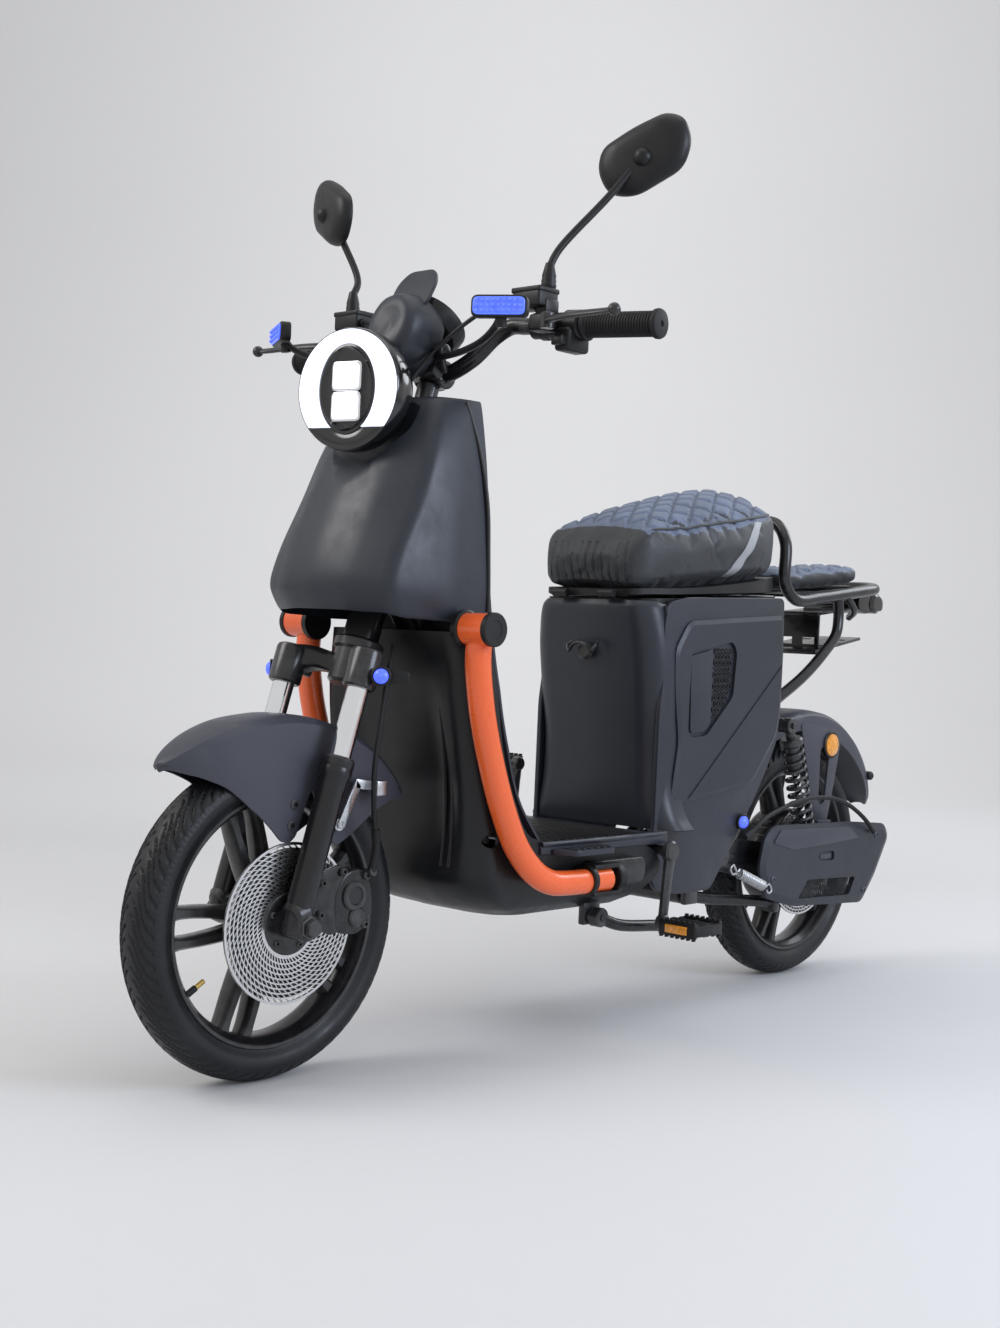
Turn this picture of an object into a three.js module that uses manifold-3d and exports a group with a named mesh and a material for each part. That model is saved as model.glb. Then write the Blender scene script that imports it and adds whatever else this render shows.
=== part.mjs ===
// Electric step-through moped scooter with pedals, built as separate named pieces.
// Millimetres, +Z up. The front wheel is towards -Y and the rider's left is +X.
// Pieces are laid out from the ground under the front axle, then the whole is centred on Y.
import * as THREE from "three";
import { ConvexGeometry } from "three/addons/geometries/ConvexGeometry.js";
import { mergeVertices } from "three/addons/utils/BufferGeometryUtils.js";
import Module from "manifold-3d";

const wasm = await Module();
wasm.setup();

// ---- driving dimensions ----
const WHEEL_R = 203; // outer radius of both tyres
const WHEELBASE = 1163;
const LENGTH = 1628.5; // front tyre to the tip of the rear fender
const TYRE_HALF = 34;
const TREAD_HALF = 20; // half width of the flat contact band
const BEAD_R = 160; // where tyre and rim meet
const RAKE = THREE.MathUtils.degToRad(17);
const STEER_FOOT = [0, 138, 530]; // a point on the steering axis, at the lower clamp
const LEG_X = 72; // fork leg to mid-plane
const LEG_FORWARD = 46; // fork leg axis ahead of the steering axis
const AXLE_R = 8;
const RUN_GAP = 0.35; // clearance between a pin and its bore
const WALL = 4; // moulded panel thickness
const DISC_R = 101;
const BAR_R = 11;
const BAR_GAP = 1.2; // clearance between the bar and what is clamped or turns on it
const GRIP_R = 16;
const BAR_BEND = [120, 284, 978]; // where each handlebar half turns straight
const BAR_END = [338, 317, 968.5];
const FLOOR_TOP = 290;
const PIVOT = [860, 235]; // swingarm pivot, y and z
const CRANK = [630, 264]; // pedal crank axis, y and z
const CRANK_STEP = [-12, -103]; // crank axis to left pedal spindle, y and z
const SEAT_HINGE = [596, 640]; // y and z
const SIDES = { left: 1, right: -1 };

// ---- materials ----
const paint = (color, roughness, metalness) => ({ color, roughness, metalness });
const SHELL = paint(0x2b2d31, 0.5, 0);
const FENDER_GREY = paint(0x4a4b50, 0.5, 0);
const BLACK = paint(0x0c0d10, 0.45, 0);
const BLACK_METAL = paint(0x101114, 0.4, 0.6);
const ORANGE = paint(0xf4581c, 0.4, 0);
const CHROME = paint(0xd8dade, 0.15, 1);
const STEEL = paint(0xb4b7ba, 0.3, 1);
const RUBBER = paint(0x111215, 0.85, 0);
const VINYL = paint(0x2c2f35, 0.6, 0);
const LAMP = paint(0xf4f4ff, 0.2, 0);
const LED_BLUE = paint(0x8fb4ff, 0.2, 0);
const RED_LENS = paint(0x5a0d10, 0.2, 0);

// ---- geometry helpers ----
const vec = (p) => new THREE.Vector3(...p);

// A geometry as a manifold-3d solid, turned right side out.
function solidOf(geometry) {
  const bare = geometry.index ? geometry.toNonIndexed() : geometry.clone();
  for (const name of Object.keys(bare.attributes)) {
    if (name !== "position") bare.deleteAttribute(name);
  }
  const merged = mergeVertices(bare, 1e-3);
  const triVerts = new Uint32Array(merged.index.array);
  const make = () =>
    new wasm.Manifold(
      new wasm.Mesh({ numProp: 3, vertProperties: merged.attributes.position.array, triVerts }),
    );
  const solid = make();
  if (solid.volume() > 0) return solid;
  for (let i = 0; i < triVerts.length; i += 3) {
    [triVerts[i + 1], triVerts[i + 2]] = [triVerts[i + 2], triVerts[i + 1]];
  }
  return make();
}

function geometryOf(solid) {
  const mesh = solid.getMesh();
  const positions = new Float32Array(mesh.numVert * 3);
  for (let i = 0; i < mesh.numVert; i++) {
    const at = i * mesh.numProp;
    positions.set(mesh.vertProperties.subarray(at, at + 3), i * 3);
  }
  const geometry = new THREE.BufferGeometry();
  geometry.setAttribute("position", new THREE.BufferAttribute(positions, 3));
  geometry.setIndex(new THREE.BufferAttribute(mesh.triVerts, 1));
  return geometry;
}

const join = (...geometries) => geometryOf(geometries.map(solidOf).reduce((a, b) => a.add(b)));

const cut = (geometry, ...tools) =>
  geometryOf(tools.map(solidOf).reduce((a, b) => a.subtract(b), solidOf(geometry)));

const common = (a, b) => geometryOf(solidOf(a).intersect(solidOf(b)));

function block(x, y, z) {
  const size = [x[1] - x[0], y[1] - y[0], z[1] - z[0]];
  const centre = [(x[0] + x[1]) / 2, (y[0] + y[1]) / 2, (z[0] + z[1]) / 2];
  return new THREE.BoxGeometry(...size).translate(...centre);
}

// A cylinder or cone from point a to point b.
function rod(a, b, radius, sides = 16, endRadius = radius) {
  const from = vec(a);
  const along = vec(b).sub(from);
  const geometry = new THREE.CylinderGeometry(endRadius, radius, along.length(), sides);
  const turn = new THREE.Quaternion();
  turn.setFromUnitVectors(new THREE.Vector3(0, 1, 0), along.clone().normalize());
  geometry.applyQuaternion(turn);
  return geometry.translate(...from.addScaledVector(along, 0.5));
}

// A round tube bent along a smooth curve through the points.
function tube(points, radius, sides = 12, steps = points.length * 4) {
  const ring = new THREE.Shape();
  for (let i = 0; i < sides; i++) {
    const a = (i / sides) * Math.PI * 2;
    if (i === 0) ring.moveTo(radius * Math.cos(a), radius * Math.sin(a));
    else ring.lineTo(radius * Math.cos(a), radius * Math.sin(a));
  }
  const path = new THREE.CatmullRomCurve3(points.map(vec), false, "centripetal");
  return new THREE.ExtrudeGeometry(ring, { steps, bevelEnabled: false, extrudePath: path });
}

// A plate whose outline lies in the YZ plane, between two X positions.
function sidePlate(outline, xLow, xHigh, holes = []) {
  const shape = new THREE.Shape(outline.map(([y, z]) => new THREE.Vector2(y, z)));
  for (const hole of holes) shape.holes.push(new THREE.Path(hole.map((p) => new THREE.Vector2(...p))));
  const flat = new THREE.ExtrudeGeometry(shape, { depth: xHigh - xLow, bevelEnabled: false });
  const basis = new THREE.Matrix4().makeBasis(vec([0, 1, 0]), vec([0, 0, 1]), vec([1, 0, 0]));
  return flat.applyMatrix4(basis).translate(xLow, 0, 0);
}

// A closed skin through rings of points; all rings hold the same number of points.
function loft(rings) {
  const count = rings[0].length;
  const positions = rings.flat(2);
  const index = [];
  for (let r = 0; r + 1 < rings.length; r++) {
    for (let i = 0; i < count; i++) {
      const j = (i + 1) % count;
      const [a, b] = [r * count + i, r * count + j];
      index.push(a, b, b + count, a, b + count, a + count);
    }
  }
  [0, rings.length - 1].forEach((r) => {
    const flat = flattened(rings[r]);
    for (const [a, b, c] of THREE.ShapeUtils.triangulateShape(flat, [])) {
      const tri = [a, b, c].map((k) => r * count + k);
      index.push(...(r === 0 ? tri.reverse() : tri));
    }
  });
  const geometry = new THREE.BufferGeometry();
  geometry.setAttribute("position", new THREE.Float32BufferAttribute(positions, 3));
  geometry.setIndex(index);
  return geometry;
}

// A ring of 3D points as 2D points in its own plane, wound the way the ring runs.
function flattened(ring) {
  const points = ring.map(vec);
  const normal = new THREE.Vector3();
  points.forEach((p, i) => {
    normal.add(p.clone().cross(points[(i + 1) % points.length]));
  });
  normal.normalize();
  const u = points[1].clone().sub(points[0]).normalize();
  const w = normal.clone().cross(u);
  return points.map((p) => new THREE.Vector2(p.dot(u), p.dot(w)));
}

// Half an outline given from the mid-plane outwards, closed with its mirror image.
const bothHalves = (half) => [
  ...half,
  ...half
    .filter((p) => p[0] > 0)
    .reverse()
    .map(([x, y, z]) => [-x, y, z]),
];

// A ring turned about an axis along X: profile points are [x, radius].
function wheelRing(profile, y, segments = 40, z = WHEEL_R) {
  const points = [...profile, profile[0]].map(([x, r]) => new THREE.Vector2(r, x));
  const ring = new THREE.LatheGeometry(points, segments);
  return ring.rotateZ(-Math.PI / 2).translate(0, y, z);
}

const mirrored = (geometry) => geometryOf(solidOf(geometry.clone().scale(-1, 1, 1)));

const toSide = (geometry, side) => (side > 0 ? geometry : mirrored(geometry));

// A point given along the steering axis: x, distance ahead of the axis, height along it.
const DOWN_AXIS = [Math.sin(RAKE), Math.cos(RAKE)];
const fromAxis = (x, ahead, up) => [
  x,
  STEER_FOOT[1] - ahead * DOWN_AXIS[1] + up * DOWN_AXIS[0],
  STEER_FOOT[2] + ahead * DOWN_AXIS[0] + up * DOWN_AXIS[1],
];

// ---- the scooter, and the function that puts each named piece on it ----
const scooter = new THREE.Group();
scooter.position.y = WHEEL_R - LENGTH / 2;

function piece(name, geometry, material) {
  const closed = geometryOf(solidOf(geometry));
  const mesh = new THREE.Mesh(closed, new THREE.MeshStandardMaterial(material));
  mesh.name = name;
  scooter.add(mesh);
}

// ---- frame: head tube, down tube, rails, lugs and stand brackets ----
const HEAD_TUBE_R = 24;
const RAIL_X = 92;
const RAIL_Z = 240;
const SIDE_STAND = [118, 520, 172];
const CENTRE_STAND = [800, 172]; // y and z
const SHOCK_TOP = [1045, 440]; // y and z
const SHOCK_X = 84;
const headTube = (radius, low, high) => rod(fromAxis(0, 0, low), fromAxis(0, 0, high), radius, 14);
const downTube = tube(
  [[0, 190, 625], [0, 230, 575], [0, 239, 480], [0, 254, 400], [0, 285, 300], [0, 336, 246], [0, 400, RAIL_Z]],
  16,
  8,
  9,
);
const outward = (points, side) => points.map(([x, y, z]) => [x * side, y, z]);
const across = (y, z, half, radius, sides = 8) => rod([-half, y, z], [half, y, z], radius, sides);
function frameSide(side) {
  const rail = [
    [0, 392, RAIL_Z], [60, 400, RAIL_Z], [RAIL_X, 450, RAIL_Z], [RAIL_X, 840, RAIL_Z],
    [RAIL_X, 915, 330], [RAIL_X, 930, 450], [RAIL_X, 930, 600],
  ];
  const seatRail = [[RAIL_X, 930, 590], [RAIL_X, 800, 606], [85, 668, 600]];
  const shockTube = [[RAIL_X, 925, 520], [58, 1040, 447]];
  return [
    tube(outward(rail, side), 12, 6, 13),
    tube(outward(seatRail, side), 11, 6, 3),
    rod(...outward(shockTube, side), 11, 6),
    rod([56 * side, ...SHOCK_TOP], [76 * side, ...SHOCK_TOP], 12, 10),
    rod([56 * side, ...SHOCK_TOP], [96 * side, ...SHOCK_TOP], 5, 10),
    rod([77 * side, ...PIVOT], [92 * side, ...PIVOT], 20, 12),
    toSide(block([68, 78], [784, 816], [160, 232]), side),
    rod([68 * side, 800, 232], [RAIL_X * side, 800, RAIL_Z], 10, 8),
  ];
}
const sideStandBracket = join(
  block([96, 107], [502, 538], [160, RAIL_Z]),
  rod([100, SIDE_STAND[1], SIDE_STAND[2]], [130, SIDE_STAND[1], SIDE_STAND[2]], 5, 12),
);
piece(
  "frame",
  cut(
    join(
      headTube(HEAD_TUBE_R, 14, 262),
      downTube,
      ...Object.values(SIDES).flatMap(frameSide),
      across(672, 600, RAIL_X, 10),
      across(930, 590, RAIL_X, 10),
      across(...PIVOT, 90, AXLE_R, 12),
      across(...CENTRE_STAND, 70, 6, 10),
      across(CRANK[0], CRANK[1], 60, 13, 12),
      across(CRANK[0], RAIL_Z, RAIL_X, 9),
      rod([0, CRANK[0], RAIL_Z], [0, ...CRANK], 9, 8),
      sideStandBracket,
    ),
    headTube(15.6, 0, 280),
    across(...CRANK, 120, 8 + RUN_GAP, 12),
  ),
  BLACK_METAL,
);

// ---- battery under the seat ----
piece("battery", block([-68, 68], [690, 880], [300, 575]), BLACK);

// ---- front cover: outer shell with a round seat for the headlamp ----
// Each level: z, front y, corner x and y, side x and y, rear x and y.
const COVER_LEVELS = [
  [585, 68, 112, 104, 128, 178, 130, 251],
  [625, 54, 119, 84, 132, 180, 130, 251],
  [665, 62, 118, 95, 130, 184, 128, 251],
  [741, 92, 116, 133, 124, 192, 122, 251],
  [811, 128, 108, 160, 114, 205, 113, 251],
  [876, 172, 86, 186, 100, 222, 100, 251],
];
function coverRings(levels, inset, rearExtra) {
  return levels.map(([z, yf, cx, cy, sx, sy, rx, ry]) =>
    bothHalves([
      [0, yf + inset, z],
      [cx * 0.55 - inset * 0.5, yf + (cy - yf) * 0.28 + inset, z],
      [cx - inset, cy + inset, z],
      [sx - inset, sy, z],
      [rx - inset, ry + rearExtra, z],
      [rx * 0.4, ry + rearExtra, z],
    ]),
  );
}
// ---- headlamp: a round bowl nested in a seat in the cover ----
const LAMP_SEGMENTS = 28;
const LAMP_Z = 878;
const lampTurned = (profile) =>
  new THREE.LatheGeometry(profile.map(([y, r]) => new THREE.Vector2(r, y)), LAMP_SEGMENTS).translate(0, 0, LAMP_Z);
const BOWL_PROFILE = [[104, 0], [104, 78], [110, 80], [136, 78], [152, 66], [168, 40], [168, 0]];
const lampSeat = (gap) =>
  lampTurned([[20, 0], [20, 80 + gap], [136 + gap, 80 + gap], [153 + gap, 67 + gap], [168 + gap, 42 + gap], [168 + gap, 0]]);
const coverOuter = loft(coverRings(COVER_LEVELS, 0, 0));
const innerLevels = COVER_LEVELS.map((level, i) => {
  const z = [570, 625, 665, 741, 811, 869][i];
  return [z, ...level.slice(1)];
});
const coverInner = cut(loft(coverRings(innerLevels, WALL, 20)), lampSeat(WALL + 1));
piece("front_cover", cut(coverOuter, lampSeat(0.6), coverInner, headTube(26, 200, 420)), SHELL);

// ---- lower cowl: leg shield front, wheel channel and belly ----
// Each level: z, channel y, channel edge x, shoulder x and y, side x, rear y.
const COWL_LEVELS = [
  [572, 190, 60, 112, 196, 132, 252],
  [500, 205, 70, 120, 200, 144, 260],
  [420, 226, 74, 124, 210, 146, 274],
  [350, 236, 74, 124, 222, 146, 302],
  [300, 233, 72, 122, 228, 146, 338],
  [271, 230, 66, 118, 232, 146, 350],
];
const BELLY_LEVELS = [
  [271, 230, 66, 118, 232, 146, 636],
  [240, 232, 60, 112, 240, 144, 630],
  [208, 262, 54, 96, 272, 128, 610],
  [184, 330, 46, 80, 340, 98, 570],
];
function cowlRings(levels, inset, rearInset) {
  return levels.map(([z, cy, cx, sx, sy, wx, ry]) =>
    bothHalves([
      [0, cy + inset, z],
      [cx, cy + inset, z],
      [sx - inset * 0.5, sy + inset, z],
      [wx - inset, sy + 26, z],
      [wx - inset, ry - rearInset, z],
      [wx * 0.4, ry - rearInset, z],
    ]),
  );
}
const raised = (levels, shifts) => levels.map((level, i) => [level[0] + (shifts[i] ?? 0), ...level.slice(1)]);
const cowlOuter = join(loft(cowlRings(COWL_LEVELS, 0, 0)), loft(cowlRings(BELLY_LEVELS, 0, 0)));
const cowlInner = join(
  loft(cowlRings(raised(COWL_LEVELS, [20]), WALL, -20)),
  loft(cowlRings(raised(BELLY_LEVELS, [6, 0, 2, WALL]), WALL, -20)),
);
piece(
  "lower_cowl",
  cut(
    cowlOuter,
    cowlInner,
    block([-200, 200], [351, 700], [270, 300]),
    across(...CRANK, 160, 14, 12),
    block([92, 111], [498, 542], [150, 250]),
  ),
  BLACK,
);

// ---- inner leg shield, facing the rider ----
const shieldOuter = [
  [256, 858], [256, 576], [264, 502], [279, 424], [306, 352], [352, 294],
  [346.5, 291.5], [301, 350], [274.5, 423], [259.5, 501], [251.8, 576], [251.8, 858],
];
const shieldSlab = sidePlate(shieldOuter.map(([y, z]) => [y + 4, z]), -150, 150);
const shieldFront = loft([
  [[-146, 200, 280], [146, 200, 280], [146, 500, 280], [-146, 500, 280]],
  [[-146, 200, 500], [146, 200, 500], [146, 500, 500], [-146, 500, 500]],
  [[-128, 200, 600], [128, 200, 600], [128, 500, 600], [-128, 500, 600]],
  [[-94, 200, 870], [94, 200, 870], [94, 500, 870], [-94, 500, 870]],
]);
piece("inner_leg_shield", common(shieldSlab, shieldFront), SHELL);

// ---- floorboard with side treads ----
const floorTop = [
  [150, 356], [152, 372], [184, 392], [184, 470], [170, 484], [150, 486], [150, 636], [0, 636],
];
const floorShape = new THREE.Shape([
  ...floorTop.map(([x, y]) => new THREE.Vector2(x, y)),
  ...floorTop.slice(0, -1).reverse().map(([x, y]) => new THREE.Vector2(-x, y)),
]);
const floorSlab = new THREE.ExtrudeGeometry(floorShape, { depth: 16, bevelEnabled: false });
piece(
  "floorboard",
  cut(
    floorSlab.translate(0, 0, FLOOR_TOP - 16),
    block([150, 200], [360, 500], [283, 300]),
    block([-200, -150], [360, 500], [283, 300]),
    across(...CRANK, 62, 14),
  ),
  SHELL,
);

// ---- seat tower: front panel and two side panels ----
// Each level: z, front y, half width.
const TOWER_LEVELS = [
  [291, 640, 146], [330, 634, 130], [415, 632, 93], [500, 622, 105], [600, 608, 116], [630, 608, 116],
];
function towerRings(inset, rear) {
  return TOWER_LEVELS.map(([z, yf, w], i) => {
    const level = inset && i === 0 ? z - 5 : inset && i === TOWER_LEVELS.length - 1 ? z - WALL : z;
    return bothHalves([
      [0, yf + inset, level],
      [w * 0.72, yf + 4 + inset, level],
      [w - inset, yf + 20, level],
      [w - inset, yf + rear, level],
      [w * 0.4, yf + rear, level],
    ]);
  });
}
piece("tower_front_panel", cut(loft(towerRings(0, 40)), loft(towerRings(WALL, 60))), SHELL);

const SIDE_PANEL = [
  [654, 628], [958, 648], [961, 430], [890, 318], [852, 276], [790, 192], [645, 197], [645, 270],
  [705, 275], [705, 288], [690, 296], [682, 345], [678, 420], [668, 500],
];
const VENT = [[700, 555], [810, 575], [818, 488], [745, 432], [706, 430]];
for (const [name, side] of Object.entries(SIDES)) {
  const openings = join(
    rod([100, ...CRANK], [140, ...CRANK], 24, 12),
    sidePlate(VENT, 118, 140),
  );
  const panel = cut(sidePlate(SIDE_PANEL, 117.5, 126), openings);
  piece("side_panel_" + name, toSide(panel, side), SHELL);
}

// ---- seat: hinged base and padded cushion ----
const seatBaseOutline = [[597, 635], [960, 656], [960, 684], [597, 645]];
const seatHingeEar = (side) => rod([side * 30, ...SEAT_HINGE], [side * 60, ...SEAT_HINGE], 7, 8);
piece(
  "seat_base",
  join(
    cut(sidePlate(seatBaseOutline, -108, 108), sidePlate([[640, 620], [940, 620], [940, 672], [640, 642]], -98, 98)),
    seatHingeEar(1),
    seatHingeEar(-1),
  ),
  BLACK,
);
// Each station: y, bottom z, edge z, crown z, half width.
const SEAT_STATIONS = [
  [604, 648, 690, 700, 78], [612, 649, 722, 728, 92], [634, 651, 742, 750, 106], [680, 655, 746, 768, 116],
  [750, 663, 752, 790, 124], [830, 672, 764, 810, 126], [910, 681, 782, 823, 118], [958, 687, 790, 816, 100],
  [972, 694, 770, 784, 84],
];
piece(
  "seat_cushion",
  loft(
    SEAT_STATIONS.map(([y, low, edge, crown, w]) =>
      bothHalves([
        [0, y, low], [w * 0.86, y, low], [w, y, low + 18], [w, y, edge - 14],
        [w * 0.88, y, edge], [w * 0.5, y, crown - (crown - edge) * 0.25], [0, y, crown],
      ]),
    ),
  ),
  VINYL,
);

// ---- rear rack, its pad, tail lamp and plate bracket ----
const RACK_R = 10;
function rackHalf(side) {
  const loop = [
    [-2, 1003, 776], [70, 1003, 774], [92, 996, 740], [96, 994, 672], [98, 1020, 650], [98, 1100, 656],
    [98, 1200, 669], [86, 1296, 680], [40, 1328, 684], [-2, 1330, 684],
  ];
  const strut = [[106, 956, 478], [109, 1042, 524], [104, 1140, 586], [99, 1158, 612], [98, 1156, 664]];
  return join(tube(outward(loop, side), RACK_R, 8, 17), tube(outward(strut, side), RACK_R, 6, 7));
}
const rackPlate = sidePlate([[1012, 653], [1300, 682], [1300, 686], [1012, 657]], -90, 90);
piece("rack", cut(join(rackHalf(1), rackHalf(-1), rackPlate), block([-60, 60], [1040, 1270], [640, 700])), BLACK_METAL);
piece(
  "rack_pad",
  sidePlate([[1010, 669], [1022, 694], [1250, 716], [1266, 710], [1268, 692], [1230, 688], [1016, 667.5]], -78, 78),
  VINYL,
);
const tailLamp = new ConvexGeometry(
  [-66, 66].flatMap((x) =>
    [[1284, 648], [1284, 664], [1310, 671], [1360, 670], [1373, 658], [1370, 642], [1306, 636]].map(([y, z]) =>
      vec([x * (y > 1365 ? 0.86 : 1), y, z]),
    ),
  ),
);
piece("tail_lamp", tailLamp, RED_LENS);
piece(
  "plate_bracket",
  join(
    block([-45, 45], [1180, 1184], [560, 640]),
    sidePlate([[1180, 628], [1276, 640], [1276, 646], [1180, 640]], -45, 45),
    sidePlate([[1150, 562], [1300, 588], [1300, 596], [1150, 570]], -62, 62),
  ),
  BLACK_METAL,
);

// ---- orange guard tubes and their end caps ----
const guardRoute = [
  [164, 194, 577], [164, 196, 540], [165, 208, 480], [165, 229, 411], [166, 258, 340], [168, 286, 288],
  [170, 320, 256], [170, 362, 240], [170, 410, 238], [170, 470, 238],
];
for (const [name, side] of Object.entries(SIDES)) {
  const stub = rod([148, 194, 577], [196, 194, 577], 21, 14);
  const guard = join(stub, tube(guardRoute, 17, 8, 14));
  piece("guard_" + name, toSide(guard, side), ORANGE);
}

// ---- pedal crankset and pedals ----
const CRANK_X = 160; // crank arm centre line to mid-plane
const PEDAL_X = [176, 246];
function crankArmTo(side) {
  const end = [CRANK[0] + side * CRANK_STEP[0], CRANK[1] + side * CRANK_STEP[1]];
  return join(
    rod([side * (CRANK_X - 6), ...CRANK], [side * (CRANK_X + 6), ...CRANK], 16, 14),
    rod([side * CRANK_X, ...CRANK], [side * CRANK_X, ...end], 8, 10, 7),
    rod([side * (CRANK_X - 6), ...end], [side * (CRANK_X + 8), ...end], 11, 12),
    rod([side * CRANK_X, ...end], [side * (PEDAL_X[1] - 10), ...end], 5, 10),
  );
}
piece(
  "crankset",
  join(across(...CRANK, CRANK_X, 8, 12), crankArmTo(1), crankArmTo(-1)),
  BLACK_METAL,
);
for (const [name, side] of Object.entries(SIDES)) {
  const y = CRANK[0] + side * CRANK_STEP[0];
  const z = CRANK[1] + side * CRANK_STEP[1];
  const [low, high] = PEDAL_X;
  const cage = cut(
    block([low, high], [y - 34, y + 34], [z - 12, z + 12]),
    block([low + 12, high - 12], [y - 26, y - 9], [z - 20, z + 20]),
    block([low + 12, high - 12], [y + 9, y + 26], [z - 20, z + 20]),
    rod([low - 1, y, z], [high - 9, y, z], 5 + RUN_GAP, 10),
  );
  piece("pedal_" + name, toSide(cage, side), BLACK);
}

// ---- side stand and centre stand, both folded up ----
const sideStandLeg = tube([SIDE_STAND, [124, 560, 158], [130, 640, 150], [136, 712, 144]], 9, 8, 8);
piece(
  "side_stand",
  cut(
    join(
      sideStandLeg,
      rod([108, SIDE_STAND[1], SIDE_STAND[2]], [127, SIDE_STAND[1], SIDE_STAND[2]], 14, 12),
      block([124, 148], [704, 716], [130, 158]),
    ),
    rod([100, SIDE_STAND[1], SIDE_STAND[2]], [140, SIDE_STAND[1], SIDE_STAND[2]], 5 + RUN_GAP, 12),
  ),
  BLACK_METAL,
);
function standLeg(side) {
  const leg = [[52, ...CENTRE_STAND], [62, 880, 160], [82, 985, 150], [88, 1010, 146]];
  return join(tube(outward(leg, side), 10, 8, 8), toSide(block([74, 101], [1004, 1016], [130, 158]), side));
}
piece(
  "centre_stand",
  cut(
    join(standLeg(1), standLeg(-1), across(...CENTRE_STAND, 60, 13, 10)),
    across(...CENTRE_STAND, 80, 6 + RUN_GAP, 10),
  ),
  BLACK_METAL,
);

// ---- wheels ----
const TYRE_PROFILE = [
  [-22, BEAD_R + 0.4], [-31, 172], [-TYRE_HALF, 182], [-29, 194], [-TREAD_HALF, WHEEL_R],
  [TREAD_HALF, WHEEL_R], [29, 194], [TYRE_HALF, 182], [31, 172], [22, BEAD_R + 0.4],
];
const RIM_PROFILE = [[-26, 147], [-26, 156], [-21, BEAD_R], [21, BEAD_R], [26, 156], [26, 147], [14, 143], [-14, 143]];
const SPOKE_PAIRS = 5;
const SPOKE_TURN = Math.PI * 0.2;
function castWheel(y, hubRadius, hubLow, hubHigh) {
  const spokes = [];
  for (let i = 0; i < SPOKE_PAIRS; i++) {
    for (const lean of [-0.13, 0.13]) {
      const foot = (i / SPOKE_PAIRS) * Math.PI * 2 + SPOKE_TURN + lean * 0.6;
      const tip = (i / SPOKE_PAIRS) * Math.PI * 2 + SPOKE_TURN + lean * 1.5;
      const at = (r, a) => [0, y + r * Math.cos(a), WHEEL_R + r * Math.sin(a)];
      spokes.push(rod(at(hubRadius * 0.7, foot), at(149, tip), 12, 4, 9));
    }
  }
  const hub = rod([hubLow, y, WHEEL_R], [hubHigh, y, WHEEL_R], hubRadius, 20);
  return cut(
    join(wheelRing(RIM_PROFILE, y, 36), hub, ...spokes),
    rod([-100, y, WHEEL_R], [100, y, WHEEL_R], AXLE_R + RUN_GAP),
  );
}
const disc = (y, radius, low, high) =>
  wheelRing([[low, 20], [low, radius], [high, radius], [high, 20]], y, 36);
const axle = (y, half) =>
  join(
    rod([-half, y, WHEEL_R], [half, y, WHEEL_R], AXLE_R),
    rod([half - 10, y, WHEEL_R], [half, y, WHEEL_R], 13, 6),
    rod([-half, y, WHEEL_R], [10 - half, y, WHEEL_R], 13, 6),
  );
const WHEELS = [
  { name: "front", y: 0, hub: 32, disc: DISC_R, discX: 48.2 },
  { name: "rear", y: WHEELBASE, hub: 86, disc: 96, discX: 43.2 },
];
const DISC_THICK = 3.2;
for (const { name, y, hub, disc: radius, discX } of WHEELS) {
  piece(name + "_tyre", wheelRing(TYRE_PROFILE, y, 36), RUBBER);
  piece(name + "_wheel", castWheel(y, hub, -40, discX - 0.4), BLACK_METAL);
  piece(name + "_brake_disc", disc(y, radius, discX, discX + DISC_THICK), STEEL);
}
piece("front_axle", axle(0, 101), STEEL);
piece("rear_axle", axle(WHEELBASE, 100), STEEL);

// ---- fork: lower clamp with stem, stanchions, lower legs ----
const legPoint = (side, up) => fromAxis(LEG_X * side, LEG_FORWARD, up);
const clampBridge = new ConvexGeometry(
  [-34, -6].flatMap((up) => [
    fromAxis(-30, -24, up), fromAxis(30, -24, up), fromAxis(-LEG_X, LEG_FORWARD - 14, up),
    fromAxis(LEG_X, LEG_FORWARD - 14, up), fromAxis(-LEG_X, LEG_FORWARD + 14, up), fromAxis(LEG_X, LEG_FORWARD + 14, up),
  ]).map(vec),
);
const stanchionHole = (side) => rod(legPoint(side, -80), legPoint(side, 20), 14 + RUN_GAP, 12);
const legSocket = (side) => rod(legPoint(side, -48), legPoint(side, 0), 21, 12);
piece(
  "steering_stem",
  cut(
    join(clampBridge, legSocket(1), legSocket(-1), rod(fromAxis(0, 0, -40), fromAxis(0, 0, 392), 15, 14)),
    stanchionHole(1),
    stanchionHole(-1),
  ),
  BLACK_METAL,
);
const axleBoss = (side) => {
  const [a, b] = [56 * side, 89 * side];
  return rod([a, 0, WHEEL_R], [b, 0, WHEEL_R], 18, 12);
};
for (const [name, side] of Object.entries(SIDES)) {
  piece("stanchion_" + name, rod(legPoint(side, -300), legPoint(side, -0.5), 14, 12), CHROME);
  const lower = join(
    rod(legPoint(side, -368), legPoint(side, -160), 17.5, 12),
    rod(legPoint(side, -162), legPoint(side, -138), 20, 12),
    axleBoss(side),
  );
  piece(
    "fork_leg_" + name,
    cut(
      lower,
      rod(legPoint(side, -341), legPoint(side, -100), 14 + RUN_GAP, 12),
      rod([-120, 0, WHEEL_R], [120, 0, WHEEL_R], AXLE_R + RUN_GAP),
    ),
    BLACK_METAL,
  );
}

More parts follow.
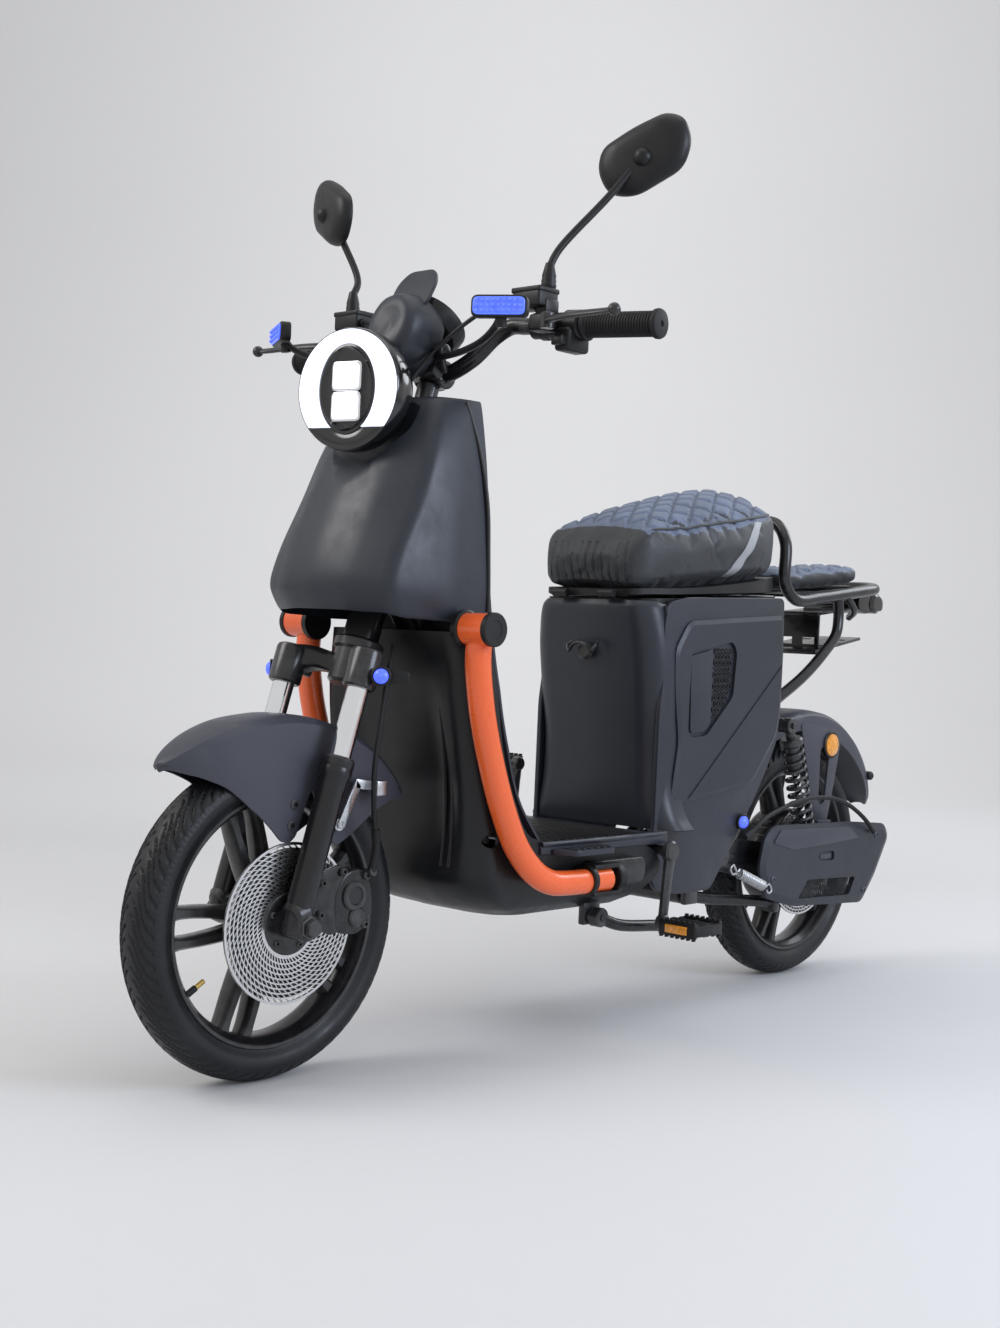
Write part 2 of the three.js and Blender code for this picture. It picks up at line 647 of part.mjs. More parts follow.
// ---- front brake caliper on its bracket ----
const caliperBody = new ConvexGeometry(
  [[38, 0.9], [66, 1]].flatMap(([x, s]) =>
    [[64, 190], [70, 258], [98, 268], [122, 246], [124, 204], [98, 180]].map(([y, z]) =>
      vec([x, 94 + (y - 94) * s, 224 + (z - 224) * s]),
    ),
  ),
);
piece(
  "brake_caliper",
  cut(
    join(caliperBody, sidePlate([[27, 205], [34, 262], [80, 262], [80, 205]], 58, 64)),
    rod([46.5, 0, WHEEL_R], [53.2, 0, WHEEL_R], DISC_R + 3, 36),
  ),
  BLACK_METAL,
);

// ---- front fender: arch, nose and side lobes bolted to the fork legs ----
const FENDER_R = 258;
function fenderRing(angle, radius, half, skirt) {
  const at = (x, r) => [x, r * Math.cos(angle), WHEEL_R + r * Math.sin(angle)];
  const thick = 3.5;
  const outer = [at(-half, radius - skirt), at(-half * 0.9, radius - 8), at(0, radius), at(half * 0.9, radius - 8), at(half, radius - skirt)];
  const inner = [
    at(half - thick, radius - skirt), at(half * 0.9 - thick, radius - 8 - thick), at(0, radius - thick),
    at(thick - half * 0.9, radius - 8 - thick), at(thick - half, radius - skirt),
  ];
  return [...outer, ...inner];
}
const frontArch = [
  [131, 262, 5, 9], [126, 262, 22, 12], [118, 261, 36, 20], [108, 259, 44, 34], [96, 258, 47, 36],
  [80, 258, 48, 36], [66, 258, 48, 34], [52, 258, 47, 30], [40, 257, 44, 22],
].map(([deg, r, half, skirt]) => fenderRing(THREE.MathUtils.degToRad(deg), r, half, skirt));
const lobe = [
  [-150, 384], [-90, 412], [60, 430], [66, 395], [44, 380], [36, 350], [22, 312], [4, 300], [-12, 304], [-60, 346],
  [-110, 372],
];
piece(
  "front_fender",
  join(loft(frontArch), sidePlate(lobe, 44.2, 48), sidePlate(lobe, -48, -44.2)),
  FENDER_GREY,
);

// ---- swingarm, its cover, shocks, rear fender ----
const SHOCK_FOOT = [1118, 222]; // y and z
const ARM_OUTLINE = [
  [840, 214], [838, 250], [880, 262], [1000, 246], [1110, 240], [1190, 232], [1204, 204], [1190, 180], [1100, 180],
  [960, 190],
];
const armSide = (side) => [
  toSide(sidePlate(ARM_OUTLINE, 60, 75), side),
  rod([74 * side, ...SHOCK_FOOT], [98 * side, ...SHOCK_FOOT], 5, 10),
];
piece(
  "swingarm",
  cut(
    join(
      ...Object.values(SIDES).flatMap(armSide),
      across(...PIVOT, 66, 18, 14),
      rod([70, 1000, 222], [102, 1000, 222], 8, 8),
      rod([70, 1194, 216], [102, 1194, 216], 8, 8),
    ),
    across(...PIVOT, 120, AXLE_R + RUN_GAP, 12),
    rod([-120, WHEELBASE, WHEEL_R], [120, WHEELBASE, WHEEL_R], AXLE_R + RUN_GAP),
  ),
  BLACK_METAL,
);
const coverOutline = [
  [952, 262], [980, 278], [1210, 272], [1330, 264], [1345, 240], [1300, 172], [1262, 128], [1040, 140], [962, 160],
  [940, 210],
];
const coverWindow = [[1060, 148], [1210, 144], [1232, 172], [1090, 176]];
piece(
  "swingarm_cover",
  cut(sidePlate(coverOutline, 103, 113), sidePlate(coverWindow, 90, 130)),
  SHELL,
);
for (const [name, side] of Object.entries(SIDES)) {
  const x = SHOCK_X * side;
  const eye = ([y, z], radius) => rod([x - 7, y, z], [x + 7, y, z], radius, 10);
  const hole = ([y, z]) => rod([x - 20, y, z], [x + 20, y, z], 5 + RUN_GAP, 10);
  const shock = join(
    eye(SHOCK_TOP, 13),
    rod([x, 1048, 431], [x, 1062, 390], 7.5, 8),
    rod([x, 1057, 406], [x, 1106, 262], 18, 10),
    rod([x, 1104, 270], [x, 1115.5, 231], 7, 8),
    eye(SHOCK_FOOT, 13),
  );
  piece("shock_" + name, cut(shock, hole(SHOCK_TOP), hole(SHOCK_FOOT)), BLACK_METAL);
}
const rearArch = [
  [124, 250, 44, 20], [104, 258, 50, 30], [86, 261, 52, 34], [68, 262, 52, 34],
  [50, 262, 50, 30], [34, 262, 46, 24], [22, 268, 34, 16], [18, 276, 20, 10],
].map(([deg, r, half, skirt]) => fenderRing(THREE.MathUtils.degToRad(deg), r, half, skirt));
const fenderStay = [[1132, 440], [1262, 425], [1240, 330], [1222, 256], [1176, 250], [1166, 340]];
piece(
  "rear_fender",
  join(
    loft(rearArch).translate(0, WHEELBASE, 0),
    sidePlate(fenderStay, 48.6, 52.6),
    sidePlate(fenderStay, -52.6, -48.6),
    sidePlate([[1176, 274], [1222, 274], [1222, 254], [1176, 256]], 48.6, 66),
    sidePlate([[1176, 274], [1222, 274], [1222, 254], [1176, 256]], -66, -48.6),
  ),
  FENDER_GREY,
);

// ---- handlebar with centre clamp, grips and controls ----
const barPoint = (side, x) => {
  const t = (x - BAR_BEND[0]) / (BAR_END[0] - BAR_BEND[0]);
  return [side * x, BAR_BEND[1] + t * (BAR_END[1] - BAR_BEND[1]), BAR_BEND[2] + t * (BAR_END[2] - BAR_BEND[2])];
};
const barHalf = (side) =>
  join(
    tube(
      [[-3, 262, 918], [24, 262, 918], [62, 272, 938], [92, 280, 965], BAR_BEND, barPoint(1, 132)].map(
        ([x, y, z]) => [x * side, y, z],
      ),
      BAR_R,
      8,
      10,
    ),
    rod(barPoint(side, 126), barPoint(side, BAR_END[0]), BAR_R, 8),
  );
const clampBlock = rod(fromAxis(0, 0, 393), fromAxis(0, 0, 420), 26, 10);
piece("handlebar", join(barHalf(1), barHalf(-1), clampBlock), BLACK_METAL);
for (const [name, side] of Object.entries(SIDES)) {
  const bore = rod(barPoint(side, 100), barPoint(side, BAR_END[0] + 1), BAR_R + BAR_GAP, 8);
  const grip = join(
    rod(barPoint(side, 236), barPoint(side, 340), GRIP_R, 12),
    rod(barPoint(side, 232), barPoint(side, 238), 20, 12),
    rod(barPoint(side, 338), barPoint(side, 345), 19, 12),
  );
  piece(name === "left" ? "grip_left" : "throttle_grip", cut(grip, bore), RUBBER);
  const perch = join(
    rod(barPoint(side, 150), barPoint(side, 196), 18, 12),
    block([side * 172 - 24, side * 172 + 24], [250, 288], [992, 1020]),
    block([side * 187 - 9, side * 187 + 9], [266, 288], [984, 1008]),
    block([side * 186 - 13, side * 186 + 13], [252, 276], [962, 984]),
  );
  piece("master_cylinder_" + name, cut(perch, bore), BLACK);
  const lever = join(
    rod([side * 204, 255, 973], [side * 216, 250, 973], 9, 12),
    tube([[side * 210, 252, 973], [side * 240, 240, 973], [side * 290, 234, 973], [side * 336, 230, 972]], 5.5, 6, 5),
    new THREE.SphereGeometry(9, 6, 5).translate(side * 339, 229, 972),
  );
  piece("brake_lever_" + name, lever, BLACK_METAL);
  const lamp = new THREE.BoxGeometry(72, 18, 28).rotateZ(side * THREE.MathUtils.degToRad(30)).translate(side * 209, 164, 976);
  const stalk = tube(
    [[side * 46, 222, 934], [side * 110, 206, 936], [side * 165, 186, 944], [side * 196, 174, 960], [side * 206, 168, 970]],
    5,
    6,
    6,
  );
  piece("indicator_" + name, join(lamp, stalk), LED_BLUE);
}
const switchBody = cut(
  block([203, 229], [272, 318], [936, 990]),
  rod(barPoint(1, 100), barPoint(1, BAR_END[0]), BAR_R + BAR_GAP, 8),
  rod([214, 330, 950], [214, 304, 950], 7.4, 12),
);
piece("switch_block", switchBody, BLACK);
piece("horn_button", rod([214, 308, 950], [214, 324, 950], 7, 12), ORANGE);

// ---- mirrors: the outer edge of each head is raised and turned back ----
const MIRRORS = {
  left: { side: 1, neck: [226, 346, 1150], head: [252, 380, 1206] },
  right: { side: -1, neck: [-226, 284, 1136], head: [-250, 284, 1176] },
};
for (const [name, { side, neck, head }] of Object.entries(MIRRORS)) {
  const outline = [[-62, -34], [-66, 8], [-50, 34], [40, 42], [66, 24], [66, -8], [40, -38], [-30, -48]];
  const face = (depth, scale) => outline.map(([x, z]) => vec([x * scale, depth, z * scale]));
  const shell = new ConvexGeometry([...face(9, 1), ...face(0, 1), ...face(-12, 0.72)]);
  shell.rotateY(THREE.MathUtils.degToRad(-20)).scale(side, 1, 1);
  shell.rotateZ(side * THREE.MathUtils.degToRad(20)).translate(...head);
  const stem = tube(
    [[187 * side, 277, 1009], [188 * side, 277, 1040], [191 * side, 288, 1068], neck, head],
    4.5,
    6,
    9,
  );
  const boot = rod([187 * side, 277, 1020.6], [187 * side, 277, 1042], 9, 12, 7);
  const turned = solidOf(shell);
  const whole = geometryOf(turned.add(solidOf(cut(stem, block([-400, 400], [200, 400], [900, 1020.6])))).add(solidOf(boot)));
  piece("mirror_" + name, whole, BLACK);
}

// ---- instrument pod on the handlebar, and the headlamp in its seat ----
const podBody = new ConvexGeometry(
  [[176, 950, 34], [170, 985, 42], [200, 1012, 40], [262, 1020, 44], [288, 985, 46], [284, 952, 38], [240, 944, 34]].flatMap(
    ([y, z, w]) => [vec([w, y, z]), vec([-w, y, z]), vec([w * 0.6, y, z + 4]), vec([-w * 0.6, y, z + 4])],
  ),
);
const visor = new ConvexGeometry(
  [[212, 1012, 36], [222, 1048, 30], [232, 1056, 16], [218, 1010, 36], [228, 1046, 30], [236, 1056, 16]].flatMap(
    ([y, z, w]) => [vec([w, y, z]), vec([-w, y, z])],
  ),
);
piece("instrument_pod", join(podBody, visor), SHELL);

piece("headlamp_housing", lampTurned(BOWL_PROFILE), BLACK);
piece("headlamp_lens", lampTurned([[94, 0], [94, 74], [103.6, 78], [103.6, 0]]), LAMP);

// ---- front brake hose and rear motor cable ----
const hoseRoute = [
  [71, 116, 262], [74, 120, 290], [80, 108, 340], [84, 102, 390], [86, 106, 440], [85, 114, 490], [78, 128, 530],
  [68, 142, 552],
];
piece("front_brake_hose", tube(hoseRoute, 3, 6, 14), RUBBER);
const cableRoute = [
  [131, 862, 268], [131, 881, 277], [128, 921, 295], [122, 978, 308], [119, 1036, 318], [118, 1082, 321],
  [118, 1145, 316], [118, 1195, 302], [119, 1247, 275], [119, 1276, 250],
];
piece("rear_brake_cable", tube(cableRoute, 4, 6, 14), RUBBER);

export default scooter;
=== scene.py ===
"""Electric step-through moped scooter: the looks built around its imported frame."""

import math

import bmesh
import bpy
from mathutils import Matrix, Vector
from mathutils.bvhtree import BVHTree


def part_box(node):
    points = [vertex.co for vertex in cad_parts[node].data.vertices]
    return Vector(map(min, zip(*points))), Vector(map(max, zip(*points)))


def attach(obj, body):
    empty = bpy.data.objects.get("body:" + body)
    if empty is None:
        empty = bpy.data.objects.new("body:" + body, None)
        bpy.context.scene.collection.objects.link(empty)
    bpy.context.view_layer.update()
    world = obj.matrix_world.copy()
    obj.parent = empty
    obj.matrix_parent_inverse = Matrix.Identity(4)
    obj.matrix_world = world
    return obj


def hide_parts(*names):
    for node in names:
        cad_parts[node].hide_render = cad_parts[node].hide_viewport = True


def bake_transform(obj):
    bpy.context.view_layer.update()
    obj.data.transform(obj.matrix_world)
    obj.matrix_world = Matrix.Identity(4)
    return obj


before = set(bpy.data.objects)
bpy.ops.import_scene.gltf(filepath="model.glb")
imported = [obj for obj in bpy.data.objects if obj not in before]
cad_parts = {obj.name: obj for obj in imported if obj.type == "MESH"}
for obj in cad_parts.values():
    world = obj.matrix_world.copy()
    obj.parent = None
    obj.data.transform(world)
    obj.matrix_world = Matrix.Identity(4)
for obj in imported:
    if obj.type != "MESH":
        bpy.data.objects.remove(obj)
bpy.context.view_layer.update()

bl_info = {
    "name": "Moped scooter", "version": (1, 0, 0), "blender": (4, 5, 0),
    "location": "View3D > Sidebar > Scooter",
    "description": "Builds the scooter's tyres, panels, lamps, seat and fittings around its frame",
    "category": "Object"
}

# ---- places, in millimetres from the ground under the front axle ----
MM = 0.001
AXLE_Y = sum(corner[1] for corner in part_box("front_tyre")) / 2
WHEEL_Z = 203
WHEELBASE = (sum(corner[1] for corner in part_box("rear_tyre")) / 2 - AXLE_Y) / MM
RAKE = math.radians(17)
STEER_FOOT = Vector((0, 138, 530))
STEER_UP = Vector((0, math.sin(RAKE), math.cos(RAKE)))
STEER_AHEAD = Vector((0, -math.cos(RAKE), math.sin(RAKE)))
SIDES = {"left": 1, "right": -1}


def at(point):
    """A layout point in millimetres as a place in the frame, in metres."""
    x, y, z = point
    return Vector((x * MM, y * MM + AXLE_Y, z * MM))


def from_axis(x, ahead, up):
    """A layout point given by its distance ahead of the steering axis and along it."""
    return Vector((x, 0, 0)) + STEER_FOOT + STEER_AHEAD * ahead + STEER_UP * up


def sided(points, side):
    """Left-hand points moved to the given side."""
    return [Vector((p[0] * side, p[1], p[2])) for p in points]


# ---- curves and outlines ----
def spline(points, steps):
    """Evenly stepped points on a smooth curve through the given ones."""
    p = [Vector(q) for q in points]
    p = [p[0] * 2 - p[1], *p, p[-1] * 2 - p[-2]]
    curve = []
    spans = len(p) - 3
    for i in range(steps + 1):
        u = i * spans / steps
        k = min(int(u), spans - 1)
        a, b, c, d = p[k : k + 4]
        t = [0.0]
        for m, n in ((a, b), (b, c), (c, d)):
            t.append(t[-1] + math.sqrt(max((n - m).length, 1e-9)))
        v = t[1] + (t[2] - t[1]) * (u - k)
        near = [m.lerp(n, (v - t[j]) / (t[j + 1] - t[j])) for j, (m, n) in enumerate(((a, b), (b, c), (c, d)))]
        wide = [near[j].lerp(near[j + 1], (v - t[j]) / (t[j + 2] - t[j])) for j in (0, 1)]
        curve.append(wide[0].lerp(wide[1], (v - t[1]) / (t[2] - t[1])))
    return curve


def rounded(points, radius, turns=4, closed=True):
    """An outline whose corners are rounded, with the same number of points at each."""
    p = [Vector(q) for q in points]
    out = []
    for i, corner in enumerate(p):
        if not closed and i in (0, len(p) - 1):
            out.append(corner)
            continue
        before, after = p[i - 1] - corner, p[(i + 1) % len(p)] - corner
        reach = min(radius, before.length * 0.45, after.length * 0.45)
        start = corner + before.normalized() * reach
        end = corner + after.normalized() * reach
        for j in range(turns + 1):
            t = j / turns
            out.append(start.lerp(corner, t).lerp(corner.lerp(end, t), t))
    return out


def levels_between(rings, steps):
    """Rings interpolated smoothly between the given ones, point by point."""
    columns = [spline(column, steps) for column in zip(*rings)]
    return [list(row) for row in zip(*columns)]


def both_halves(half):
    """Half an outline from the mid-plane outwards, closed with its mirror image."""
    return [*half, *[(-x, y, z) for x, y, z in reversed(half) if x > 0]]


# ---- solids, added to a bmesh ----
def wire(bm, points, closed=True):
    verts = [bm.verts.new(at(p)) for p in points]
    pairs = zip(verts, verts[1:] + verts[:1] if closed else verts[1:])
    return [bm.edges.new(pair) for pair in pairs]


def skin(bm, rings, closed=True, capped=True, joined=False):
    """A surface bridged from ring to ring; joined makes the last ring meet the first."""
    loops = [wire(bm, r, closed) for r in rings]
    following = loops[1:] + loops[:1] if joined else loops[1:]
    for a, b in zip(loops, following):
        bmesh.ops.bridge_loops(bm, edges=a + b)
    if capped and closed and not joined:
        for loop in (loops[0], loops[-1]):
            bmesh.ops.contextual_create(bm, geom=loop)


def tube(bm, points, radius, sides=20, steps=None, closed=False, flat=1.0):
    """A round tube along a smooth curve; radius may be a function of 0 to 1."""
    path = spline(points, steps) if steps else [Vector(p) for p in points]
    count = len(path)
    normal = None
    rings = []
    for i, p in enumerate(path):
        if closed:
            along = path[(i + 1) % count] - path[i - 1]
        else:
            along = path[min(i + 1, count - 1)] - path[max(i - 1, 0)]
        along.normalize()
        if normal is None:
            normal = along.orthogonal().normalized()
        normal = (normal - along * normal.dot(along)).normalized()
        across = along.cross(normal)
        r = radius(i / (count - 1)) if callable(radius) else radius
        rings.append([p + (normal * math.cos(a) + across * (flat * math.sin(a))) * r for a in (math.tau * k / sides for k in range(sides))])
    skin(bm, rings, joined=closed)


def lathe(bm, foot, toward, profile, steps=48, closed=False, sweep=math.tau):
    """A profile of (distance along, radius) spun about the line from foot."""
    foot, axis = Vector(foot), (Vector(toward) - Vector(foot)).normalized()
    side = axis.orthogonal().normalized()
    if abs(axis.x) > 0.99:
        side = Vector((0, 0, 1))
    verts = [bm.verts.new(at(foot + axis * d + side * r)) for d, r in profile]
    pairs = list(zip(verts, verts[1:] + verts[:1] if closed else verts[1:]))
    edges = [bm.edges.new(pair) for pair in pairs]
    spun = bmesh.ops.spin(
        bm, geom=verts + edges, cent=at(foot), axis=axis, angle=sweep, steps=steps, use_merge=sweep == math.tau,
        use_duplicate=False
    )
    return spun


def rod(bm, a, b, radius, edge=0.8, steps=28, end=None):
    """A round bar from a to b with softened ends."""
    length = (Vector(b) - Vector(a)).length
    end = radius if end is None else end
    edge = min(edge, length * 0.3, radius * 0.5)
    lathe(
        bm, a, b,
        [(0, 0), (0, radius - edge), (edge, radius), (length - edge, end), (length, end - edge), (length, 0)],
        steps
    )


def soften(bm, faces, width, segments=2, angle=25):
    """Bevels the sharp edges around some faces."""
    bm.normal_update()
    edges = {e for f in faces if f.is_valid for e in f.edges}
    sharp = [e for e in edges if len(e.link_faces) == 2 and e.calc_face_angle(0) > math.radians(angle)]
    if width and sharp:
        bmesh.ops.bevel(
            bm, geom=sharp, offset=width * MM, offset_type="OFFSET", segments=segments, profile=0.5,
            affect="EDGES", clamp_overlap=True, material=-1
        )


def slab(bm, points, thickness, edge=0.0, segments=2):
    """A flat outline given a thickness vector and softened edges."""
    face = bm.faces.new([bm.verts.new(at(p)) for p in points])
    grown = bmesh.ops.extrude_face_region(bm, geom=[face])
    top = [v for v in grown["geom"] if isinstance(v, bmesh.types.BMVert)]
    bmesh.ops.translate(bm, verts=top, vec=Vector(thickness) * MM)
    faces = {f for v in top for f in v.link_faces} | {f for v in face.verts for f in v.link_faces}
    faces = list(faces)
    bmesh.ops.recalc_face_normals(bm, faces=faces)
    soften(bm, faces, edge, segments)


def plate(bm, outline, low, high, edge=1.0, segments=2):
    """A slab whose outline is given as (y, z), between two x positions."""
    slab(bm, [(low, y, z) for y, z in outline], (high - low, 0, 0), edge, segments)


def box(bm, low, high, edge=1.0, segments=2, turn=None):
    """A box between two corners, softened, and turned about its middle."""
    low, high = Vector(low), Vector(high)
    made = bmesh.ops.create_cube(bm, size=1)["verts"]
    bmesh.ops.scale(bm, verts=made, vec=(high - low) * MM)
    if turn:
        bmesh.ops.rotate(bm, verts=made, cent=(0, 0, 0), matrix=turn)
    bmesh.ops.translate(bm, verts=made, vec=at((low + high) / 2))
    soften(bm, {f for v in made for f in v.link_faces}, edge, segments)


def ball(bm, centre, radius, squash=(1, 1, 1), detail=3):
    made = bmesh.ops.create_icosphere(bm, subdivisions=detail, radius=radius * MM)["verts"]
    bmesh.ops.scale(bm, verts=made, vec=squash)
    bmesh.ops.translate(bm, verts=made, vec=at(centre))


def screw(bm, place, out, radius=5, height=2.5):
    """A domed screw head with a socket, standing on a surface."""
    place, out = Vector(place), Vector(out).normalized()
    lathe(
        bm, place - out * 1, place + out,
        [
            (0, 0), (0, radius), (1 + height * 0.4, radius), (1 + height, radius * 0.7),
            (1 + height, radius * 0.45), (1 + height * 0.3, radius * 0.42), (1 + height * 0.3, 0)
        ],
        18
    )


# ---- pieces ----
def shape():
    return bmesh.new()


def tint(bm, start, index):
    """Gives the faces made since start the material at index."""
    bm.faces.ensure_lookup_table()
    for i in range(start, len(bm.faces)):
        bm.faces[i].material_index = index


def finished(name, bm, body, slot, *materials, hides=(), crease=32, outward=True):
    """Turns a bmesh into a piece that rides on a body and stands for the named nodes."""
    bmesh.ops.remove_doubles(bm, verts=bm.verts, dist=1e-5)
    loose = [v for v in bm.verts if not v.link_faces]
    bmesh.ops.delete(bm, geom=loose, context="VERTS")
    if outward:
        bmesh.ops.recalc_face_normals(bm, faces=bm.faces)
    mesh = bpy.data.meshes.new(name)
    bm.to_mesh(mesh)
    bm.free()
    for material in materials:
        mesh.materials.append(material)
    mesh.shade_smooth()
    mesh.set_sharp_from_angle(angle=math.radians(crease))
    piece = bpy.data.objects.new(name, mesh)
    bpy.context.scene.collection.objects.link(piece)
    if body:
        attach(piece, body)
    if hides:
        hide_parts(*hides)
    return piece


def carved(piece, bm, body="chassis"):
    """Cuts the closed solid in bm out of a piece."""
    bmesh.ops.remove_doubles(bm, verts=bm.verts, dist=1e-6)
    bmesh.ops.recalc_face_normals(bm, faces=bm.faces)
    mesh = bpy.data.meshes.new("cutter")
    bm.to_mesh(mesh)
    bm.free()
    cutter = bpy.data.objects.new("cutter", mesh)
    bpy.context.scene.collection.objects.link(cutter)
    difference = piece.modifiers.new("cut", "BOOLEAN")
    difference.object = cutter
    difference.operation = "DIFFERENCE"
    difference.solver = "EXACT"
    settled(piece)
    bpy.data.objects.remove(cutter)


def settled(piece):
    """Applies a piece's modifiers to its mesh."""
    bpy.context.view_layer.update()
    evaluated = piece.evaluated_get(bpy.context.evaluated_depsgraph_get())
    mesh = bpy.data.meshes.new_from_object(evaluated)
    old = piece.data
    piece.modifiers.clear()
    piece.data = mesh
    mesh.name = piece.name
    bpy.data.meshes.remove(old)


def refined(name, node, body, slot, material, edge=1.0, crease=32):
    """A CAD node's shape with its sharp edges rounded."""
    bm = shape()
    bm.from_mesh(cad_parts[node].data)
    bmesh.ops.remove_doubles(bm, verts=bm.verts, dist=1e-5)
    bmesh.ops.dissolve_limit(bm, angle_limit=math.radians(4), verts=bm.verts, edges=bm.edges)
    soften(bm, list(bm.faces), edge)
    return finished(name, bm, body, slot, material, hides=(node,), crease=crease)


# ---- finishes ----
def group(name, inputs, outputs, build):
    """A shader node group, built once and used by name."""
    made = bpy.data.node_groups.get(name)
    if made:
        return made
    made = bpy.data.node_groups.new(name, "ShaderNodeTree")
    for label, kind, value in inputs:
        socket = made.interface.new_socket(label, in_out="INPUT", socket_type=kind)
        if value is not None:
            socket.default_value = value
    for label, kind in outputs:
        made.interface.new_socket(label, in_out="OUTPUT", socket_type=kind)
    build(made.nodes, made.links, made.nodes.new("NodeGroupInput"), made.nodes.new("NodeGroupOutput"))
    return made


def mottle_nodes(nodes, links, inp, out):
    """Two shades mixed by soft, uneven patches."""
    noise = nodes.new("ShaderNodeTexNoise")
    noise.inputs["Detail"].default_value = 5
    ramp = nodes.new("ShaderNodeMapRange")
    ramp.inputs["From Min"].default_value = 0.35
    ramp.inputs["From Max"].default_value = 0.65
    mix = nodes.new("ShaderNodeMix")
    mix.data_type = "RGBA"
    links.new(inp.outputs["Vector"], noise.inputs["Vector"])
    links.new(inp.outputs["Scale"], noise.inputs["Scale"])
    links.new(noise.outputs["Fac"], ramp.inputs["Value"])
    links.new(ramp.outputs["Result"], mix.inputs["Factor"])
    links.new(inp.outputs["First"], mix.inputs["A"])
    links.new(inp.outputs["Second"], mix.inputs["B"])
    links.new(mix.outputs["Result"], out.inputs["Color"])


def sheen_nodes(nodes, links, inp, out):
    """Roughness that wanders between two values, as handled plastic does."""
    noise = nodes.new("ShaderNodeTexNoise")
    noise.inputs["Detail"].default_value = 8
    noise.inputs["Roughness"].default_value = 0.65
    ramp = nodes.new("ShaderNodeMapRange")
    ramp.inputs["From Min"].default_value = 0.3
    ramp.inputs["From Max"].default_value = 0.7
    links.new(inp.outputs["Vector"], noise.inputs["Vector"])
    links.new(inp.outputs["Scale"], noise.inputs["Scale"])
    links.new(noise.outputs["Fac"], ramp.inputs["Value"])
    links.new(inp.outputs["Low"], ramp.inputs["To Min"])
    links.new(inp.outputs["High"], ramp.inputs["To Max"])
    links.new(ramp.outputs["Result"], out.inputs["Roughness"])


def grain_nodes(nodes, links, inp, out):
    """A fine moulded grain as a bent normal."""
    noise = nodes.new("ShaderNodeTexNoise")
    noise.inputs["Detail"].default_value = 3
    bump = nodes.new("ShaderNodeBump")
    bump.inputs["Strength"].default_value = 1.0
    links.new(inp.outputs["Vector"], noise.inputs["Vector"])
    links.new(inp.outputs["Scale"], noise.inputs["Scale"])
    links.new(noise.outputs["Fac"], bump.inputs["Height"])
    links.new(inp.outputs["Depth"], bump.inputs["Distance"])
    links.new(bump.outputs["Normal"], out.inputs["Normal"])


def wear_nodes(nodes, links, inp, out):
    """A colour that lightens on worn outer edges."""
    geometry = nodes.new("ShaderNodeNewGeometry")
    noise = nodes.new("ShaderNodeTexNoise")
    noise.inputs["Scale"].default_value = 60
    noise.inputs["Detail"].default_value = 6
    add = nodes.new("ShaderNodeMath")
    add.operation = "MULTIPLY_ADD"
    add.inputs[1].default_value = 0.12
    ramp = nodes.new("ShaderNodeMapRange")
    ramp.inputs["From Min"].default_value = 0.585
    ramp.inputs["From Max"].default_value = 0.70
    scaled = nodes.new("ShaderNodeMath")
    scaled.operation = "MULTIPLY"
    mix = nodes.new("ShaderNodeMix")
    mix.data_type = "RGBA"
    links.new(inp.outputs["Vector"], noise.inputs["Vector"])
    links.new(noise.outputs["Fac"], add.inputs[0])
    links.new(geometry.outputs["Pointiness"], add.inputs[2])
    links.new(add.outputs[0], ramp.inputs["Value"])
    links.new(ramp.outputs["Result"], scaled.inputs[0])
    links.new(inp.outputs["Amount"], scaled.inputs[1])
    links.new(scaled.outputs[0], mix.inputs["Factor"])
    links.new(inp.outputs["Color"], mix.inputs["A"])
    links.new(inp.outputs["Worn"], mix.inputs["B"])
    links.new(mix.outputs["Result"], out.inputs["Color"])


def shade(colour, factor):
    return (*[c * factor for c in colour[:3]], 1)


